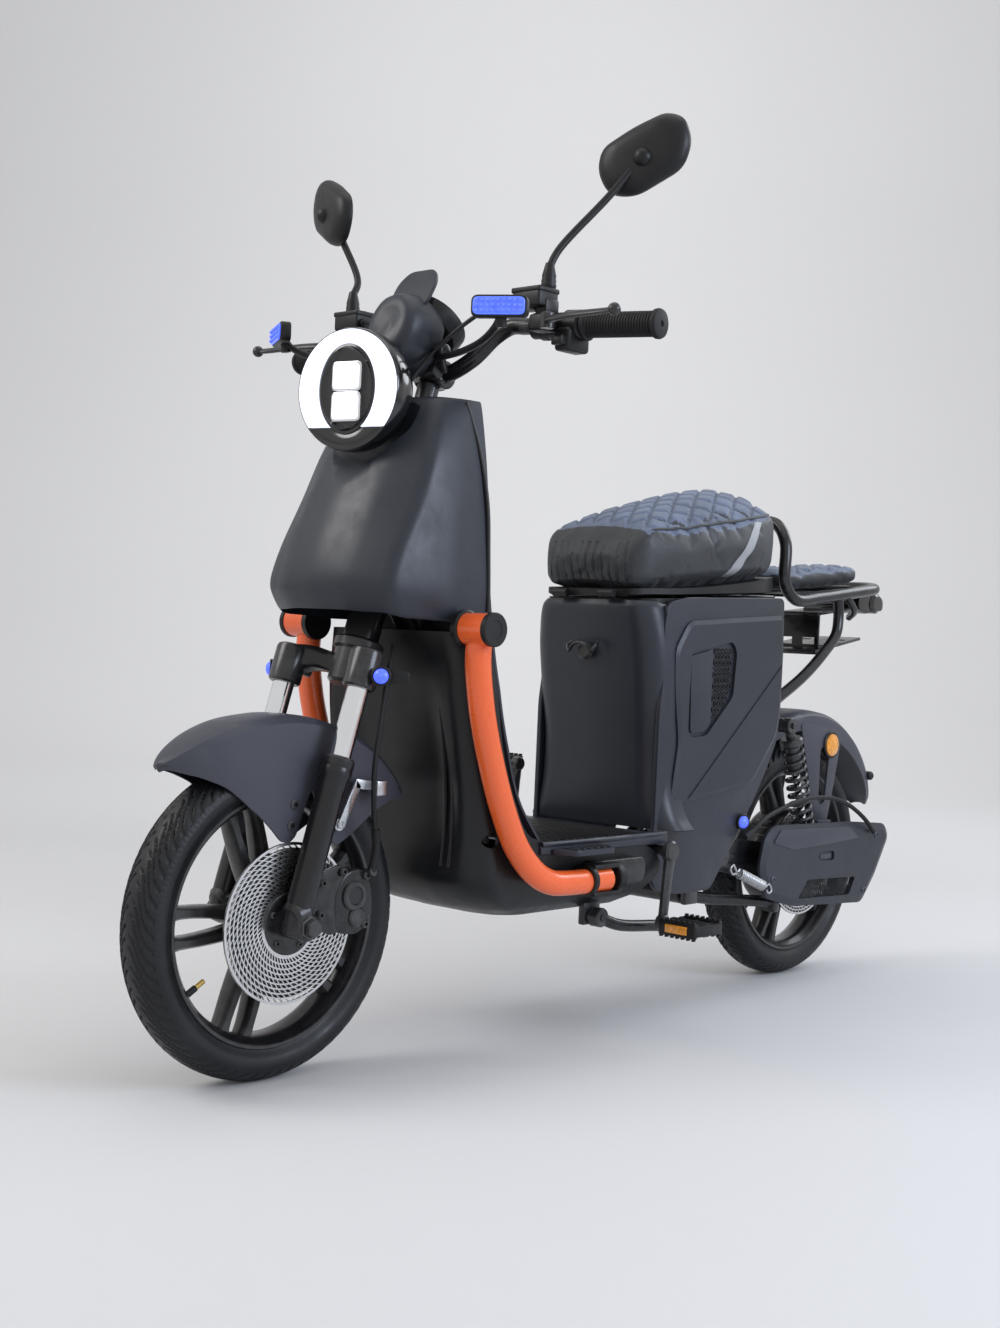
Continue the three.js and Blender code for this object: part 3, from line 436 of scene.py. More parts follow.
def surface(
    name, colour, roughness, metallic=0.0, patch=(9, 0.85, 1.15), spread=0.08, grain=(900, 0.00004), wear=0.0,
    coat=0.0, specular=0.5, glow=None, sheen=0.0
):
    """A procedural finish: patchy colour, wandering roughness, grain and worn edges."""
    made = bpy.data.materials.get(name)
    if made:
        return made
    made = bpy.data.materials.new(name)
    made.use_nodes = True
    nodes, links = made.node_tree.nodes, made.node_tree.links
    shader = nodes["Principled BSDF"]
    place = nodes.new("ShaderNodeTexCoord").outputs["Object"]

    def effect(title, inputs, outputs, build, **values):
        node = nodes.new("ShaderNodeGroup")
        node.node_tree = group(title, inputs, outputs, build)
        links.new(place, node.inputs["Vector"])
        for key, value in values.items():
            node.inputs[key].default_value = value
        return node

    vector = ("Vector", "NodeSocketVector", None)
    mottle = effect(
        "Uneven shade",
        [
            vector, ("Scale", "NodeSocketFloat", 9), ("First", "NodeSocketColor", None),
            ("Second", "NodeSocketColor", None)
        ],
        [("Color", "NodeSocketColor")], mottle_nodes, Scale=patch[0], First=shade(colour, patch[1]),
        Second=shade(colour, patch[2])
    )
    colour_out = mottle.outputs["Color"]
    if wear:
        worn = effect(
            "Worn edges",
            [
                vector, ("Color", "NodeSocketColor", None), ("Worn", "NodeSocketColor", None),
                ("Amount", "NodeSocketFloat", 0.5)
            ],
            [("Color", "NodeSocketColor")], wear_nodes, Worn=shade([c * 0.5 + 0.12 for c in colour], 1.6),
            Amount=wear
        )
        links.new(colour_out, worn.inputs["Color"])
        colour_out = worn.outputs["Color"]
    links.new(colour_out, shader.inputs["Base Color"])
    rough = effect(
        "Wandering gloss",
        [
            vector, ("Scale", "NodeSocketFloat", 30), ("Low", "NodeSocketFloat", 0.3),
            ("High", "NodeSocketFloat", 0.5)
        ],
        [("Roughness", "NodeSocketFloat")], sheen_nodes, Scale=28, Low=max(roughness - spread, 0.02),
        High=roughness + spread
    )
    links.new(rough.outputs["Roughness"], shader.inputs["Roughness"])
    if grain:
        fine = effect(
            "Fine grain", [vector, ("Scale", "NodeSocketFloat", 900), ("Depth", "NodeSocketFloat", 0.00005)],
            [("Normal", "NodeSocketVector")], grain_nodes, Scale=grain[0], Depth=grain[1]
        )
        links.new(fine.outputs["Normal"], shader.inputs["Normal"])
    shader.inputs["Metallic"].default_value = metallic
    shader.inputs["Specular IOR Level"].default_value = specular
    if coat:
        shader.inputs["Coat Weight"].default_value = coat
        shader.inputs["Coat Roughness"].default_value = 0.12
    if sheen:
        shader.inputs["Sheen Weight"].default_value = sheen
    if glow:
        links.new(mottle.outputs["Color"], shader.inputs["Emission Color"])
        shader.inputs["Emission Strength"].default_value = glow
    return made


# ---- the finishes of this scooter ----
def finishes():
    """Every finish by name."""
    looks = bpy.context.scene.scooter_looks
    shell = tuple(looks.shell_colour)
    guard = tuple(looks.guard_colour)
    return {
        "shell": surface(
            "Charcoal shell", shell, 0.40, specular=0.42, grain=(1400, 0.00003), patch=(4, 0.85, 1.15)
        ),
        "cowl": surface(
            "Black cowl", (0.007, 0.0075, 0.009), 0.38, specular=0.36, grain=(1400, 0.00002),
            patch=(5, 0.8, 1.2)
        ),
        "fender": surface(
            "Grey fender", (0.045, 0.047, 0.062), 0.42, specular=0.42, grain=(1400, 0.00002),
            patch=(4, 0.92, 1.08)
        ),
        "plastic": surface("Black plastic", (0.007, 0.007, 0.008), 0.42, specular=0.35, patch=(20, 0.8, 1.3)),
        "gloss": surface(
            "Gloss black", (0.006, 0.006, 0.007), 0.16, grain=None, patch=(20, 0.8, 1.3), coat=0.5
        ),
        "metal": surface(
            "Black enamel", (0.007, 0.007, 0.0085), 0.3, specular=0.35, wear=0.35, coat=0.3,
            grain=(700, 0.00002)
        ),
        "alloy": surface(
            "Black alloy", (0.006, 0.006, 0.0075), 0.33, specular=0.35, wear=0.25, coat=0.25,
            grain=(500, 0.00003)
        ),
        "rubber": surface(
            "Tyre rubber", (0.007, 0.0075, 0.0095), 0.47, specular=0.38, grain=(1800, 0.00006),
            patch=(14, 0.7, 1.5), spread=0.12
        ),
        "grip": surface("Grip rubber", (0.008, 0.008, 0.009), 0.6, specular=0.35, grain=(2500, 0.00005)),
        "orange": surface("Orange enamel", guard, 0.3, coat=0.35, grain=(600, 0.00002), patch=(5, 0.96, 1.03)),
        "chrome": surface(
            "Hard chrome", (0.82, 0.83, 0.85), 0.09, metallic=1, grain=None, spread=0.04, patch=(30, 0.97, 1.0)
        ),
        "steel": surface(
            "Brushed disc steel", (0.62, 0.62, 0.63), 0.26, metallic=1, grain=(300, 0.00004),
            patch=(40, 0.92, 1.05)
        ),
        "zinc": surface(
            "Zinc plate", (0.55, 0.56, 0.58), 0.3, metallic=1, grain=(500, 0.00004), patch=(60, 0.85, 1.1)
        ),
        "brass": surface("Brass", (0.55, 0.38, 0.12), 0.3, metallic=1, grain=None, patch=(60, 0.85, 1.1)),
        "mirror": surface(
            "Mirror glass", (0.8, 0.82, 0.84), 0.04, metallic=1, grain=None, spread=0.02, patch=(20, 0.98, 1)
        ),
        "white_glow": surface(
            "White light guide", (0.80, 0.85, 1.0), 0.2, grain=None, glow=looks.lamp_strength,
            patch=(30, 0.94, 1.0)
        ),
        "led_white": surface(
            "White projector", (0.93, 0.94, 1.0), 0.1, grain=None, glow=looks.lamp_strength * 1.1,
            patch=(60, 0.85, 1.0)
        ),
        "blue_glow": surface(
            "Blue marker light", (0.07, 0.12, 1.0), 0.2, grain=None, glow=looks.marker_strength,
            patch=(150, 0.8, 1.1)
        ),
        "blue_lens": surface(
            "Blue lamp lens", (0.10, 0.22, 1.0), 0.15, grain=None, glow=looks.marker_strength * 0.55,
            patch=(120, 0.8, 1.1), coat=0.5
        ),
        "amber": surface(
            "Amber reflector", (0.85, 0.33, 0.03), 0.12, grain=(900, 0.0002), coat=0.8, patch=(200, 0.7, 1.1)
        ),
        "red": surface(
            "Dark red lens", (0.06, 0.006, 0.008), 0.12, grain=(600, 0.0001), coat=0.8, patch=(100, 0.7, 1.2)
        ),
        "screen": surface(
            "Dark display", (0.004, 0.005, 0.007), 0.08, grain=None, coat=1.0, patch=(10, 0.8, 1.2)
        ),
        "vinyl": vinyl("Seat vinyl", tuple(looks.seat_colour), False),
        # The seat top's bluish, lighter colour is painted sky reflection on its upward faces; its woven bump is real.
        "quilt": vinyl("Woven seat top with painted sky reflection", tuple(looks.seat_top_painted_sky_colour), True),
        "stripe": surface(
            "Grey seat stripe", (0.30, 0.31, 0.33), 0.45, grain=(1500, 0.00008), patch=(30, 0.92, 1.06)
        ),
        "mesh": surface("Grille mesh", (0.02, 0.02, 0.022), 0.35, metallic=0.5, patch=(40, 0.8, 1.3))
    }


def vinyl(name, colour, woven):
    """Leathery vinyl with a pebbled face, or a woven cloth face."""
    made = bpy.data.materials.get(name)
    if made:
        return made
    made = surface(
        name, colour, 0.5 if not woven else 0.62, patch=(18, 0.82, 1.18), grain=None,
        sheen=0.25 if woven else 0.08
    )
    nodes, links = made.node_tree.nodes, made.node_tree.links
    shader = nodes["Principled BSDF"]
    place = nodes.new("ShaderNodeTexCoord").outputs["Object"]
    bump = nodes.new("ShaderNodeBump")
    if woven:
        waves = []
        for turn in (0.785, -0.785):
            mapping = nodes.new("ShaderNodeMapping")
            mapping.inputs["Rotation"].default_value = (0, 0, turn)
            wave = nodes.new("ShaderNodeTexWave")
            wave.inputs["Scale"].default_value = 210
            wave.inputs["Distortion"].default_value = 0.6
            links.new(place, mapping.inputs["Vector"])
            links.new(mapping.outputs["Vector"], wave.inputs["Vector"])
            waves.append(wave)
        cross = nodes.new("ShaderNodeMath")
        cross.operation = "MULTIPLY"
        links.new(waves[0].outputs["Fac"], cross.inputs[0])
        links.new(waves[1].outputs["Fac"], cross.inputs[1])
        links.new(cross.outputs[0], bump.inputs["Height"])
        bump.inputs["Distance"].default_value = 0.0006
    else:
        pebble = nodes.new("ShaderNodeTexVoronoi")
        pebble.feature = "SMOOTH_F1"
        pebble.inputs["Scale"].default_value = 520
        links.new(place, pebble.inputs["Vector"])
        links.new(pebble.outputs["Distance"], bump.inputs["Height"])
        bump.inputs["Distance"].default_value = 0.0005
    bump.inputs["Strength"].default_value = 0.7
    links.new(bump.outputs["Normal"], shader.inputs["Normal"])
    return made


# ---- wheels ----
def on_wheel(x, radius, angle, wheel_y=0.0):
    """A point on a wheel: angle is measured from the rear, upwards."""
    return Vector((x, wheel_y + radius * math.cos(angle), WHEEL_Z + radius * math.sin(angle)))


def build_tyres(sizes):
    """Tyres with a round crown, swept sipes and a notched shoulder."""
    look = finishes()
    half = [
        (0, 203), (5, 202.9), (10, 202.2), (15, 201), (20, 199), (25, 196), (29, 192.2), (32, 187.5),
        (33.8, 182)
    ]
    half += [(33.6, 176.5), (32, 171), (29, 166.5), (26.5, 163), (25, 160.3)]
    side = [Vector((x, r, 0)) for x, r in half]
    fine = [(p.x, p.y) for p in spline(side, 34)]
    profile = [(-x, r) for x, r in reversed(fine)] + fine[1:] + [(0, 161)]
    around = 720
    sipes = sizes.sipe_count
    for name, y in (("front", 0), ("rear", WHEELBASE)):
        bm = shape()
        lathe(bm, (0, y, WHEEL_Z), (1, y, WHEEL_Z), profile, around, closed=True)
        centre = at((0, y, WHEEL_Z))
        for v in bm.verts:
            x = v.co.x / MM
            away = Vector((0, v.co.y - centre.y, v.co.z - centre.z))
            r = away.length / MM
            if r < 170:
                continue
            turn = math.atan2(away.z, away.y) / math.tau * sipes
            u = abs(x) / 30
            cut = 0.0
            if r > 189.5:
                flip = 0.5 if x < 0 else 0.0
                sweep = turn + flip - 3.0 * u**1.35 + 0.35 * math.sin(u * 6)
                beat = sweep % 1
                first = 0.10 if int(sweep // 1) % 2 else 0.34
                if first < u < 1.16:
                    near = min(beat, 1 - beat)
                    cut = 3.4 * max(0.0, min(1.0, (0.215 - near) / 0.08))
                    cut *= min(1.0, (u - first) / 0.06) * min(1.0, (1.16 - u) / 0.06)
            elif 183.5 < r < 187.5:
                cut = 0.9 if (turn * 2.5) % 1 < 0.45 else 0.0
            elif 174.2 < r < 175.4 or 169.6 < r < 170.6:
                cut = -0.6
            v.co -= away.normalized() * cut * MM
        finished(
            f"{name}_tyre_tread", bm, f"{name}_wheel", "tyre_rubber", look["rubber"], hides=(f"{name}_tyre",),
            crease=70
        )


def spoke(bm, wheel_y, foot, tip, foot_r, tip_r, depth, width):
    """One cast spoke with rounded edges, thickening into hub and rim."""
    rings = []
    for i in range(9):
        t = i / 8
        angle = foot + (tip - foot) * t
        r = foot_r + (tip_r - foot_r) * t
        grow = 1 + 0.5 * max(0, (t - 0.8) / 0.2) ** 2 + 0.35 * max(0, (0.2 - t) / 0.2) ** 2
        d, w = depth * (1 - 0.3 * t), width * (1 - 0.22 * t) * grow
        middle = on_wheel(0, r, angle, wheel_y)
        across = Vector((0, -math.sin(angle), math.cos(angle)))
        corners = [
            (d, w * 0.55), (d * 0.55, w), (-d * 0.55, w), (-d, w * 0.55), (-d, -w * 0.55), (-d * 0.55, -w),
            (d * 0.55, -w), (d, -w * 0.55)
        ]
        rings.append([middle + Vector((a, 0, 0)) + across * b for a, b in corners])
    skin(bm, rings)


def build_wheels():
    """Cast rims with paired spokes, hubs, a valve and the rear hub motor."""
    look = finishes()
    rim = [
        (-25, 161), (-27.5, 159.5), (-27, 155.5), (-22, 153), (-18, 148.5), (-9, 145), (9, 145), (18, 148.5),
        (22, 153), (27, 155.5), (27.5, 159.5), (25, 161), (21, 157), (-21, 157)
    ]
    for name, y, hub in (("front", 0, 34), ("rear", WHEELBASE, 86)):
        bm = shape()
        lathe(bm, (0, y, WHEEL_Z), (1, y, WHEEL_Z), rim, 120, closed=True)
        for i in range(5):
            centre = math.radians(36 + 72 * i)
            for lean in (-1, 1):
                spoke(bm, y, centre + lean * 0.24 * 34 / hub, centre + lean * 0.125, hub * 0.8, 148.5, 18, 9.0)
        if name == "front":
            lathe(
                bm, (-44, y, WHEEL_Z), (44, y, WHEEL_Z),
                [
                    (0, 9), (0, 22), (2, 24), (20, 25), (26, 33), (30, 35), (58, 35), (62, 33), (68, 27),
                    (84, 26), (86, 24), (91.4, 24), (91.4, 9)
                ],
                64, closed=True
            )
        else:
            lathe(
                bm, (-40, y, WHEEL_Z), (40, y, WHEEL_Z),
                [
                    (0, 9), (0, 40), (4, 44), (5, 74), (9, 80), (14, 84), (20, 86), (60, 86), (66, 84),
                    (71, 80), (75, 74), (76, 44), (80, 40), (82.4, 38), (82.4, 9)
                ],
                96, closed=True
            )
            for i in range(36):
                a = math.tau * i / 36
                fin = [on_wheel(x, r, a, y) for x, r in ((-18, 84), (18, 84))]
                rod(bm, fin[0], fin[1], 2.4, steps=8)
        for i in range(5):
            a = math.tau * i / 5 + 0.3
            for x, out in ((-40 if name == "rear" else -43, -1),):
                screw(bm, on_wheel(x, 30 if name == "rear" else 15, a, y), (out, 0, 0), 4, 3)
        face = 46.6 if name == "front" else 41.8
        lathe(
            bm, (face, y, WHEEL_Z), (face + 1, y, WHEEL_Z), [(0, 20), (0, 93), (1, 94), (1, 20)], 72,
            closed=True
        )
        finished(
            f"{name}_cast_wheel", bm, f"{name}_wheel", "alloy", look["alloy"], hides=(f"{name}_wheel",),
            crease=38
        )
        bm = shape()
        a = math.radians(214)
        foot, tip = on_wheel(9, 147, a, y), on_wheel(12, 118, a, y)
        rod(bm, foot, foot.lerp(tip, 0.55), 4.2, steps=16)
        start = len(bm.faces)
        rod(bm, foot.lerp(tip, 0.5), tip, 3.2, steps=16)
        tint(bm, start, 1)
        finished(f"{name}_valve", bm, f"{name}_wheel", "disc_steel", look["grip"], look["brass"])


def build_discs():
    """Brake discs drilled with spiral rows of lozenge holes, on a black carrier."""
    look = finishes()
    for name, y, outer, x in (("front", 0, 101, 48.2), ("rear", WHEELBASE, 96, 43.2)):
        bm = shape()
        first, last, rows = 43.0, outer - 2.4, 9
        radii = [first + (last - first) * (i / rows) ** 0.92 for i in range(rows + 1)]
        lathe(bm, (x, y, WHEEL_Z), (x + 1, y, WHEEL_Z), [(0, r) for r in radii], 60)
        cells = list(bm.faces)
        bmesh.ops.inset_individual(bm, faces=cells, thickness=1.0 * MM, use_even_offset=True)
        bmesh.ops.delete(bm, geom=cells, context="FACES_ONLY")
        centre = at((0, y, WHEEL_Z))
        for v in bm.verts:
            r = math.hypot(v.co.y - centre.y, v.co.z - centre.z) / MM
            turn = Matrix.Rotation((r - first) * 0.0145, 3, "X")
            v.co = centre + turn @ (v.co - centre)
        for edge_r, start_r in ((outer, last), (36.0, first)):
            loop = [
                e
                for e in bm.edges if e.is_boundary and all(
                    abs(math.hypot(v.co.y - centre.y, v.co.z - centre.z) / MM - start_r) < 0.06 for v in e.verts
                )
            ]
            grown = bmesh.ops.extrude_edge_only(bm, edges=loop)["geom"]
            for v in (g for g in grown if isinstance(g, bmesh.types.BMVert)):
                away = Vector((0, v.co.y - centre.y, v.co.z - centre.z)).normalized()
                v.co = Vector((v.co.x, centre.y, centre.z)) + away * edge_r * MM
        bmesh.ops.recalc_face_normals(bm, faces=bm.faces)
        thick = bmesh.ops.extrude_face_region(bm, geom=list(bm.faces), use_keep_orig=True)
        top = [g for g in thick["geom"] if isinstance(g, bmesh.types.BMVert)]
        bmesh.ops.translate(bm, verts=top, vec=(3.0 * MM, 0, 0))
        finished(
            f"{name}_drilled_disc", bm, f"{name}_wheel", "disc_steel", look["steel"],
            hides=(f"{name}_brake_disc",), crease=30
        )
        bm = shape()
        lathe(
            bm, (x + 0.4, y, WHEEL_Z), (x + 5, y, WHEEL_Z),
            [(0, 12), (0, 38), (1, 39.5), (3.2, 39.5), (4.2, 38.5), (5, 30), (5, 12)], 64, closed=True
        )
        for i in range(5):
            screw(bm, on_wheel(x + 5, 31, math.tau * i / 5 + 0.2, y), (1, 0, 0), 4.5, 3)
        finished(f"{name}_disc_carrier", bm, f"{name}_wheel", "black_metal", look["metal"])


# ---- fork ----
def leg(side, up):
    return from_axis(72 * side, 46, up)


def build_fork():
    """Stanchions, lower legs with dust caps, the arched clamp, axle and caliper."""
    look = finishes()
    for name, side in SIDES.items():
        bm = shape()
        rod(bm, leg(side, -300), leg(side, -1), 14, steps=64)
        finished(
            f"chrome_stanchion_{name}", bm, "steering", "chrome", look["chrome"], hides=(f"stanchion_{name}",)
        )
        bm = shape()
        profile = [
            (0, 0), (0, 8), (3, 13.5), (8, 16), (26, 17.2), (60, 17.5), (185, 17.5), (190, 18.4), (203, 18.8),
            (206, 20.6)
        ]
        profile += [
            (209, 20.8), (214, 20.8), (216, 20.2), (217, 20.2), (219, 20.8), (227, 20.6), (230, 18.5),
            (230.5, 14.4), (206, 14.4), (206, 0)
        ]
        lathe(bm, leg(side, -370), leg(side, 0), profile, 56)
        lathe(
            bm, (56 * side, 0, WHEEL_Z), (90 * side, 0, WHEEL_Z),
            [(0, 0), (0, 16), (2, 18), (24, 18.5), (31, 17.5), (34, 14), (34, 0)], 48
        )
        base = leg(side, -341)
        rod(bm, base + Vector((0, 12, 4)), base + Vector((0, -12, -4)), 19, steps=40, edge=5)
        finished(f"lower_leg_{name}", bm, "fork_lower", "alloy", look["alloy"], hides=(f"fork_leg_{name}",))
        bm = shape()
        lathe(
            bm, (89.5 * side, 0, WHEEL_Z), (110 * side, 0, WHEEL_Z),
            [(0, 0), (0, 14), (1.5, 15), (3, 14), (3, 11.5), (10.5, 11.5), (11.5, 10), (11.5, 0)],
            6 if side > 0 else 24
        )
        finished(f"axle_nut_{name}", bm, "fork_lower", "disc_steel", look["metal"])
    bm = shape()
    arch = [
        (0, -6, -14, 30, 15), (22, 2, -10, 27, 14), (44, 22, -8, 22, 13), (60, 38, -14, 20, 15),
        (72, 46, -22, 21, 22)
    ]
    for side in (1, -1):
        rings = []
        for p in spline([Vector(a[:3]) for a in arch], 16):
            t = min(abs(p.x) / 72, 1)
            wide = 27 - 9 * math.sin(t * math.pi * 0.5) + 4 * max(0, t - 0.8) / 0.2
            tall = 16 - 5 * math.sin(t * math.pi) + 6 * t
            ring = []
            for k in range(20):
                a = math.tau * k / 20
                c, s = math.cos(a), math.sin(a)
                flat = (abs(c) ** 4 + abs(s) ** 4) ** 0.25
                ring.append(from_axis(p.x * side, p.y + wide * c / flat * 0.8, p.z + tall * s / flat))
            rings.append(ring)
        skin(bm, rings)
        lathe(
            bm, leg(side, -50), leg(side, 2),
            [(0, 14.6), (0, 19), (3, 21.5), (46, 21.5), (50, 20), (52, 16), (52, 0), (51, 0), (51, 14.6)], 48
        )
        rod(bm, from_axis(72 * side, 46 - 24, -25), from_axis(72 * side, 46 - 38, -25), 6, steps=16)
    rod(bm, from_axis(0, 0, -36), from_axis(0, 0, 20), 29, steps=56, edge=4)
    rod(bm, from_axis(0, 0, 10), from_axis(0, 0, 26), 33, steps=56, edge=3)
    rod(bm, from_axis(0, 0, 20), from_axis(0, 0, 391), 15, steps=40)
    finished("lower_clamp", bm, "steering", "black_metal", look["metal"], hides=("steering_stem",))
    bm = shape()
    rod(bm, (-92, 0, WHEEL_Z), (92, 0, WHEEL_Z), 7.8, steps=32)
    finished("front_spindle", bm, "fork_lower", "disc_steel", look["zinc"], hides=("front_axle",))
    build_caliper(look)
    bm = shape()
    slab(bm, [(56, 66, 322), (56, 78, 318), (56, 104, 370), (56, 96, 380)], (3.4, 0, 0), 0.8)
    slab(bm, [(56, 96, 380), (56, 94, 368), (56, 122, 364), (56, 124, 376)], (3.4, 0, 0), 0.8)
    box(bm, (54, 118, 358), (74, 136, 378), 2, 3)
    rod(bm, (47, 72, 322), (57, 72, 322), 8, steps=24)
    screw(bm, (59, 72, 322), (1, 0, 0), 4.5, 2)
    finished("hose_clip", bm, "fork_lower", "disc_steel", look["zinc"])


def build_caliper(look):
    """The two-piston caliper, its bracket, pins and banjo bolt."""
    bm = shape()
    outline = rounded(
        [(0, 64, 186), (0, 60, 236), (0, 78, 264), (0, 108, 266), (0, 124, 246), (0, 126, 206), (0, 104, 180)],
        14, 4
    )
    outline = [(p[1], p[2]) for p in outline]
    plate(bm, outline, 53, 66, 3, 3)
    plate(bm, outline, 38, 46.4, 2, 2)
    plate(bm, [(98, 190), (98, 258), (124, 244), (125, 206)], 44, 56, 1.5)
    lathe(
        bm, (64, 92, 232), (78, 92, 232), [(0, 0), (0, 19), (5, 19), (7, 17), (7, 12), (5.5, 11), (5.5, 0)], 36
    )
    lathe(bm, (64, 98, 204), (78, 98, 204), [(0, 0), (0, 13), (4, 13), (6, 11), (6, 0)], 30)
    bracket = rounded(
        [(0, 24, 200), (0, 30, 264), (0, 74, 274), (0, 90, 252), (0, 84, 198), (0, 60, 182)], 10, 3
    )
    plate(bm, [(p[1], p[2]) for p in bracket], 58.5, 64.5, 1.2)
    for y, z in ((38, 252), (36, 212), (72, 264), (112, 256), (112, 194)):
        screw(bm, (66.5, y, z), (1, 0, 0), 5.5, 4)
    rod(bm, (60, 116, 258), (76, 116, 262), 6, steps=20)
    finished("caliper_body", bm, "fork_lower", "alloy", look["metal"], hides=("brake_caliper",))


def fender_rows(stations, wheel_y, thick=3.2):
    """Cross-sections of a fender: angle, radius, half width, skirt depth."""
    rows = []
    for deg, r, half, skirt in (tuple(s) for s in stations):
        a = math.radians(deg)
        outer = [
            (half, r - skirt), (half, r - skirt * 0.55), (half * 0.96, r - 10), (half * 0.8, r - 3),
            (half * 0.45, r - 0.4), (0, r)
        ]
        inner = [
            (max(x - thick, 0), q - (0 if i < 1 else thick * min(1, 0.25 + i * 0.2))) for i,
            (x, q) in enumerate(outer)
        ]
        ring = [on_wheel(x, q, a, wheel_y) for x, q in outer]
        ring += [on_wheel(-x, q, a, wheel_y) for x, q in reversed(outer[:-1])]
        ring += [on_wheel(-x, q, a, wheel_y) for x, q in inner]
        ring += [on_wheel(x, q, a, wheel_y) for x, q in reversed(inner[:-1])]
        rows.append(ring)
    return rows


def between(stations, steps):
    """Smooth in-between stations of four numbers each."""
    first = spline([Vector((a, b, c)) for a, b, c, _ in stations], steps)
    last = spline([Vector((d, a, 0)) for a, _, _, d in stations], steps)
    return [(*p, q.x) for p, q in zip(first, last)]


def build_front_fender():
    """The front fender: peaked nose, arch and side lobes bolted to the legs."""
    look = finishes()
    bm = shape()
    stations = [
        (131.5, 263, 4, 6), (129.5, 263, 14, 16), (125, 262, 27, 38), (119, 261, 36, 66), (113, 260, 41.5, 101),
        (105, 259, 45, 134), (98, 258, 47.2, 155), (92, 258, 47.6, 158), (86, 258, 47.8, 150),
        (82, 258, 47.8, 116), (79, 258, 47.8, 92), (73, 258, 47.8, 116), (66, 258, 47.8, 134),
        (58, 258, 47.8, 140), (50, 257.5, 47.5, 136), (46, 257, 47, 110), (43, 256.5, 46.5, 60),
        (40, 256, 45, 28), (37.5, 256, 43, 16)
    ]
    skin(bm, fender_rows(between(stations, 96), 0))
    finished(
        "front_mudguard", bm, "fork_lower", "fender_grey", look["fender"], hides=("front_fender",), crease=35
    )
    bm = shape()
    for side in (1, -1):
        for y, z in ((4, 350), (0, 324), (74, 330)):
            screw(bm, (48 * side, y, z), (side, 0, 0), 6.5, 2.4)
    finished("mudguard_bolts", bm, "fork_lower", "black_metal", look["metal"])


# ---- guard tubes ----
def build_guards():
    """Orange guard tubes with black end caps."""
    look = finishes()
    route = [
        (164, 205, 577), (164.2, 199, 548), (165, 208, 480), (165, 229, 411), (166, 258, 340), (168, 286, 290),
        (170, 318, 258), (170, 352, 242), (170, 395, 238), (170, 470, 238)
    ]
    for name, side in SIDES.items():
        bm = shape()
        tube(bm, sided(route, side), 17, 36, 70)
        rod(bm, (148 * side, 194, 577), (192 * side, 194, 577), 20.5, steps=48, edge=1)
        finished(f"guard_tube_{name}", bm, "chassis", "orange_paint", look["orange"], hides=(f"guard_{name}",))
        bm = shape()
        lathe(
            bm, (190 * side, 194, 577), (200 * side, 194, 577),
            [(0, 0), (0, 21), (1, 22), (7, 22), (8.5, 20.5), (8.5, 12), (7.6, 11.4), (7.6, 0)], 44
        )
        lathe(
            bm, (140 * side, 194, 577), (150 * side, 194, 577), [(0, 0), (0, 24), (8, 24), (9.5, 22), (9.5, 0)],
            44
        )
        for y0, y1 in ((424, 434), (480, 494)):
            rod(bm, (170 * side, y0, 239), (170 * side, y1, 239), 21.5, steps=40, edge=2)
        for dz in (-20, 18):
            low, high = sorted((158 * side, 184 * side))
            box(bm, (low, 430, 239 + dz - 3), (high, 484, 239 + dz + 4), 1.5)
        finished(f"guard_cap_{name}", bm, "chassis", "black_plastic", look["plastic"])


# ---- front cover, cowl and leg shield ----
LAMP_Z = 878
LAMP_TURN = math.radians(12)


def lamp_turned(bm):
    """Turns a lamp part about the upright line through its seat."""
    bmesh.ops.rotate(bm, cent=at((0, 140, LAMP_Z)), matrix=Matrix.Rotation(LAMP_TURN, 3, "Z"), verts=bm.verts)


def cover_solid(bm, rows, steps):
    """A closed body lofted through half outlines of the cover, mirrored."""
    halves = []
    for z, yf, cx, cy, sx, sy, rx, ry in rows:
        half = [(0, yf, z), (cx * 0.5, yf + (cy - yf) * 0.2, z), (cx, cy, z), (sx, sy, z), (rx, ry, z)]
        halves.append([Vector(p) for p in half])
    rings = []
    for half in levels_between(halves, steps):
        half = [Vector(p) for p in half]
        mirrored = [Vector((-p.x, p.y, p.z)) for p in half[1:]]
        rings.append(rounded([*reversed(half), *mirrored], 16, 5, closed=False))
    skin(bm, rings)


